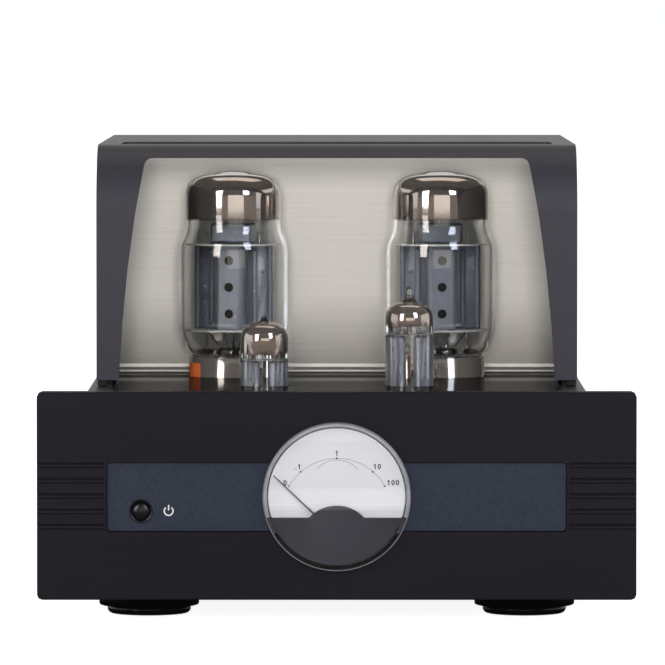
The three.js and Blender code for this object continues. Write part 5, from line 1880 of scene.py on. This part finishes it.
@dataclass(kw_only=True)
class SmallTube(Tube):
    """A small noval tube: glass envelope with its tip, mirror dome, plates and pins."""

    dome_top: float
    tip_top: float
    plates_top: float
    mirror_edge: float
    kind: str = "small_tube"
    x: float = 33.0
    y: float = -104.3
    radius: float = 11.0
    wall: float = 1.0
    film_depth: float = 0.3
    bare: float = 2.6
    plate_offset: float = 4.0
    plate_half_width: float = 2.9
    foot_height: float = -8.0
    spacer_radius: float = 9.3

    def outline(self) -> list[Point]:
        """The envelope's outer points from its foot to the tip.

        Returns:
            Radius and height above the deck of each point.
        """
        top = self.dome_top
        points = [(self.radius - 1.2, -17.0)]
        points += curve((self.radius - 1.2, -17.0), (self.radius, -17.0), (self.radius, -15.6), 4)
        points += [(self.radius, 0.0), (self.radius, top - 8.5)]
        points += curve((self.radius, top - 8.5), (self.radius, top - 1.8), (4.4, top - 0.7), 12)
        points += curve((4.4, top - 0.7), (1.9, top), (1.5, self.tip_top - 1.6), 5)
        points += curve((1.5, self.tip_top - 1.6), (1.2, self.tip_top), (0, self.tip_top), 4)
        return points

    def build(self) -> None:
        """Builds the tube's pieces."""
        outer = self.outline()
        inner = [p for p in inner_wall(outer, self.wall) if -16 < p[1] < self.dome_top - self.wall]
        inner.append((0, self.dome_top - self.wall))
        inner = [(0, -14.8), (self.radius - 2.2, -14.8), (self.radius - self.wall, -13.6)] + inner[1:]
        wall = outer + [(0, self.dome_top - self.wall)] + inner[::-1][1:] + [(0, -17.0), outer[0]]
        glass = Bench.turned(f"{self.body}_glass", wall, self.centre, Axis.Z, 72)
        self.fit(glass, "tube_glass", "tube_glass", f"{self.body}_bulb")
        low = self.mirror_edge - 2.4
        line = [(self.radius - self.film_depth, low)]
        line += [p for p in inner_wall(outer, self.film_depth) if p[1] > low and p[0] > self.bare]
        name = f"barium_getter_mirror_{self.side.word}"
        finish = GetterFinish(name, DECK_TOP + self.mirror_edge - 2.2, 3.2, "#b8aca4", "#6a5449")
        self.mirror(line, 0.1, finish, 72)
        self.inside()
        self.finishes.dress_node(f"{self.body}_pins", "brass")

    def inside(self) -> None:
        """Two anodes, the spacers over and under them, rods and the getter ring."""
        foot, top = self.foot_height, self.plates_top
        plates = []
        for way in (-1, 1):
            middle = way * self.plate_offset
            low = (middle - self.plate_half_width, -4.0, foot)
            high = (middle + self.plate_half_width, 4.0, top - 0.6)
            plate = Bench.bar("plate", low, high, 0.0)
            Bench.round_edges(plate, 1.3, 4)
            plates.append(Bench.smooth(plate))
            for wing in (-1, 1):
                low = (middle - 0.3, wing * 5.6 - 1.7, foot)
                high = (middle + 0.3, wing * 5.6 + 1.7, top - 0.6)
                plates.append(Bench.bar("fin", low, high, 0.15))
        self.fit(self.turned_parts("anodes", plates), "plates", "electrode", f"{self.body}_electrodes")
        outline = [(0, 0), (self.spacer_radius, 0), (self.spacer_radius, 0.5), (0, 0.5)]
        discs = [Bench.turned("disc", outline, (0, 0, z), Axis.Z, 40) for z in (top - 0.5, foot - 0.7)]
        self.fit(self.turned_parts("spacers", discs), "mica", "ceramic")
        ring_height = self.dome_top - 6
        ring = [(2.4, -0.4), (3.0, -0.4), (3.0, 0.4), (2.4, 0.4), (2.4, -0.4)]
        rods = [
            Bench.rod("rod", (x, y, top), (x, y, top + 2.6), 0.28, 8)
            for x in (-6.2, -4, -1.8, 1.8, 4, 6.2)
            for y in (-1.4, 1.4)
        ]
        rods += [Bench.rod("lead", (x, 0, -14.6), (x, 0, -8.6), 0.3, 8) for x in (-6, -3, 0, 3, 6)]
        rods.append(Bench.rod("getter_post", (0, 2.5, top), (0, 2.5, ring_height), 0.35, 8))
        rods.append(Bench.turned("getter_ring", ring, (0, 0, ring_height), Axis.Z, 24))
        self.fit(self.turned_parts("inner_metal", rods), "nickel", "electrode")


@dataclass
class Casework(Assembly):
    """The sheet-metal pieces: deck, hood, chassis, base and rear panel, with feet, strips and screws."""

    gasket_edge: float = 0.4
    foot_flange: float = 22.5
    foot_radius: float = 18.8
    screw_inset: float = 6.0

    def build(self) -> None:
        """Builds the casework."""
        sheets = {
            "tube_deck": ("tube_deck_brushed", "steel_sheet", "steel", 0.25),
            "hood": ("hood_coated", "powder_black", "powder_black", 0.5),
            "chassis_shell": ("chassis_shell_coated", "powder_black", "powder_black", 0.4),
            "base_plate": ("base_plate_coated", "powder_dull", "powder_black", 0.2),
            "rear_panel": ("rear_panel_coated", "powder_dull", "powder_black", 0.2),
        }
        for node, (name, key, slot, edge) in sheets.items():
            piece = Bench.refined(name, node, edge)
            if key == "steel_sheet":
                Bench.lay_grain(piece)
            self.fit(piece, key, slot, node)
        for side in Side:
            node = f"hood_gasket_{side.word}"
            strip = Bench.refined(f"{node}_moulded", node, self.gasket_edge)
            self.fit(strip, "rubber", "rubber", node)
        for end in ("front", "rear"):
            for side in Side:
                self.foot(f"foot_{end}_{side.word}")
        self.screws()

    def screws(self) -> None:
        """The button-head screws that hold the rear panel, the base plate and the hood's back."""
        inset = self.screw_inset
        rear_low, rear_high = (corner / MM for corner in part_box("rear_panel"))
        base_low, base_high = (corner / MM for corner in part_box("base_plate"))
        hood_low, hood_high = (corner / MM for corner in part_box("hood"))
        heads = []
        for side in Side:
            x = side.value * (rear_high.x - inset)
            for z in (rear_low.z + inset, rear_high.z - inset):
                heads.append(self.screw_head((x, rear_high.y, z), Axis.Y))
            x = side.value * (hood_high.x - 2 * inset)
            heads.append(self.screw_head((x, hood_high.y, hood_low.z + 1.5 * inset), Axis.Y))
            x = side.value * (base_high.x - inset)
            for y in (base_low.y + 2 * inset, (base_low.y + base_high.y) / 2, base_high.y - 2 * inset):
                heads.append(self.screw_head((x, y, base_low.z), Axis.Z))
        self.fit(Bench.join("casework_screws", heads), "screw", "steel")

    def screw_head(self, place: Place, axis: Axis) -> Piece:
        """A button head with a six-sided recess, standing on a face.

        Args:
            place: The middle of the face under the head, in mm.
            axis: Y for a head that looks to the rear, Z for one that looks down.

        Returns:
            The head.
        """
        way = -1 if axis is Axis.Z else 1
        dome = [(0, 0), (2.6, 0), (2.5, 0.5), (2.1, 1.0), (1.4, 1.35), (0, 1.4)]
        head = Bench.turned("screw_head", [(r, way * z) for r, z in dome], place, axis, 24)
        recess = [(0, 0.5), (1.0, 0.5), (1.0, 2.0), (0, 2.0)]
        Bench.cut(head, Bench.turned("hexagon", [(r, way * z) for r, z in recess], place, axis, 6))
        return Bench.smooth(head, 30)

    def foot(self, node: str) -> None:
        """A turned foot with a groove under its flange.

        Args:
            node: The foot's node.
        """
        low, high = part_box(node)
        x = (low.x + high.x) / 2 / MM
        y = (low.y + high.y) / 2 / MM
        top = high.z / MM
        flange = self.foot_flange
        radius = self.foot_radius
        outline = [
            (0, 0.6), (radius - 5.4, 0.6), (radius - 5.4, 0.0), (radius - 3.4, 0.0),
            *curve((radius - 3.4, 0.0), (radius - 0.2, 0.1), (radius, 2.6), 6), (radius - 0.5, 3.9),
            (flange - 1.1, 3.9), (flange - 0.3, 4.2), (flange, 4.8), (flange, 7.0),
            (flange - 0.35, 7.2), (flange - 0.35, 7.6), (flange, 7.8), (flange, top - 0.8),
            (flange - 0.8, top), (0, top),
        ]
        foot = Bench.turned(f"{node}_turned", outline, (x, y, 0), Axis.Z, 96)
        self.fit(foot, "foot", "foot", node)


@dataclass
class InnerParts(Assembly):
    """The parts inside the case and at its rear, which keep their solids and get finishes."""

    def build(self) -> None:
        """Dresses every node that keeps its own solid by the first of these words that is in its name."""
        rules = {
            "input_socket": "chrome",
            "terminal_cap_3": "red_plastic",
            "socket": "ceramic",
            "board": "board",
            "capacitor": "capacitor",
            "core": "lamination",
            "winding": "winding",
            "inlet": "black_plastic",
            "drawer": "black_plastic",
            "switch": "black_plastic",
            "terminal_cap": "black_plastic",
            "speaker_terminal": "brass",
        }
        for name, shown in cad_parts.items():
            if shown.hide_render:
                continue
            key = next((finish for word, finish in rules.items() if word in name), None)
            if key:
                self.finishes.dress_node(name, key)
                log.info("node %s dressed in %s", name, key)


def main() -> None:
    """Builds the studio and every sub-assembly."""
    logging.basicConfig(level=logging.INFO, format="%(name)s: %(message)s")
    Studio().build()
    finishes = Finishes()
    Casework(finishes).build()
    FrontPanel(finishes).build()
    Meter(finishes).build()
    tubes = (
        PowerTube(finishes, side=Side.LEFT, turn=-14.0, label_angles=(-88, -48), label_heights=(-1.5, 6.4)),
        PowerTube(finishes, side=Side.RIGHT, turn=5.0, label_angles=(-61, -39), label_heights=(-1.5, 8.4)),
        SmallTube(finishes, side=Side.LEFT, dome_top=29.0, tip_top=31.5, plates_top=12.0, mirror_edge=16.6),
        SmallTube(finishes, side=Side.RIGHT, dome_top=38.3, tip_top=44.9, plates_top=23.5, mirror_edge=29.3),
    )
    for tube in tubes:
        tube.build()
    InnerParts(finishes).build()


if __name__ == "__main__":
    main()
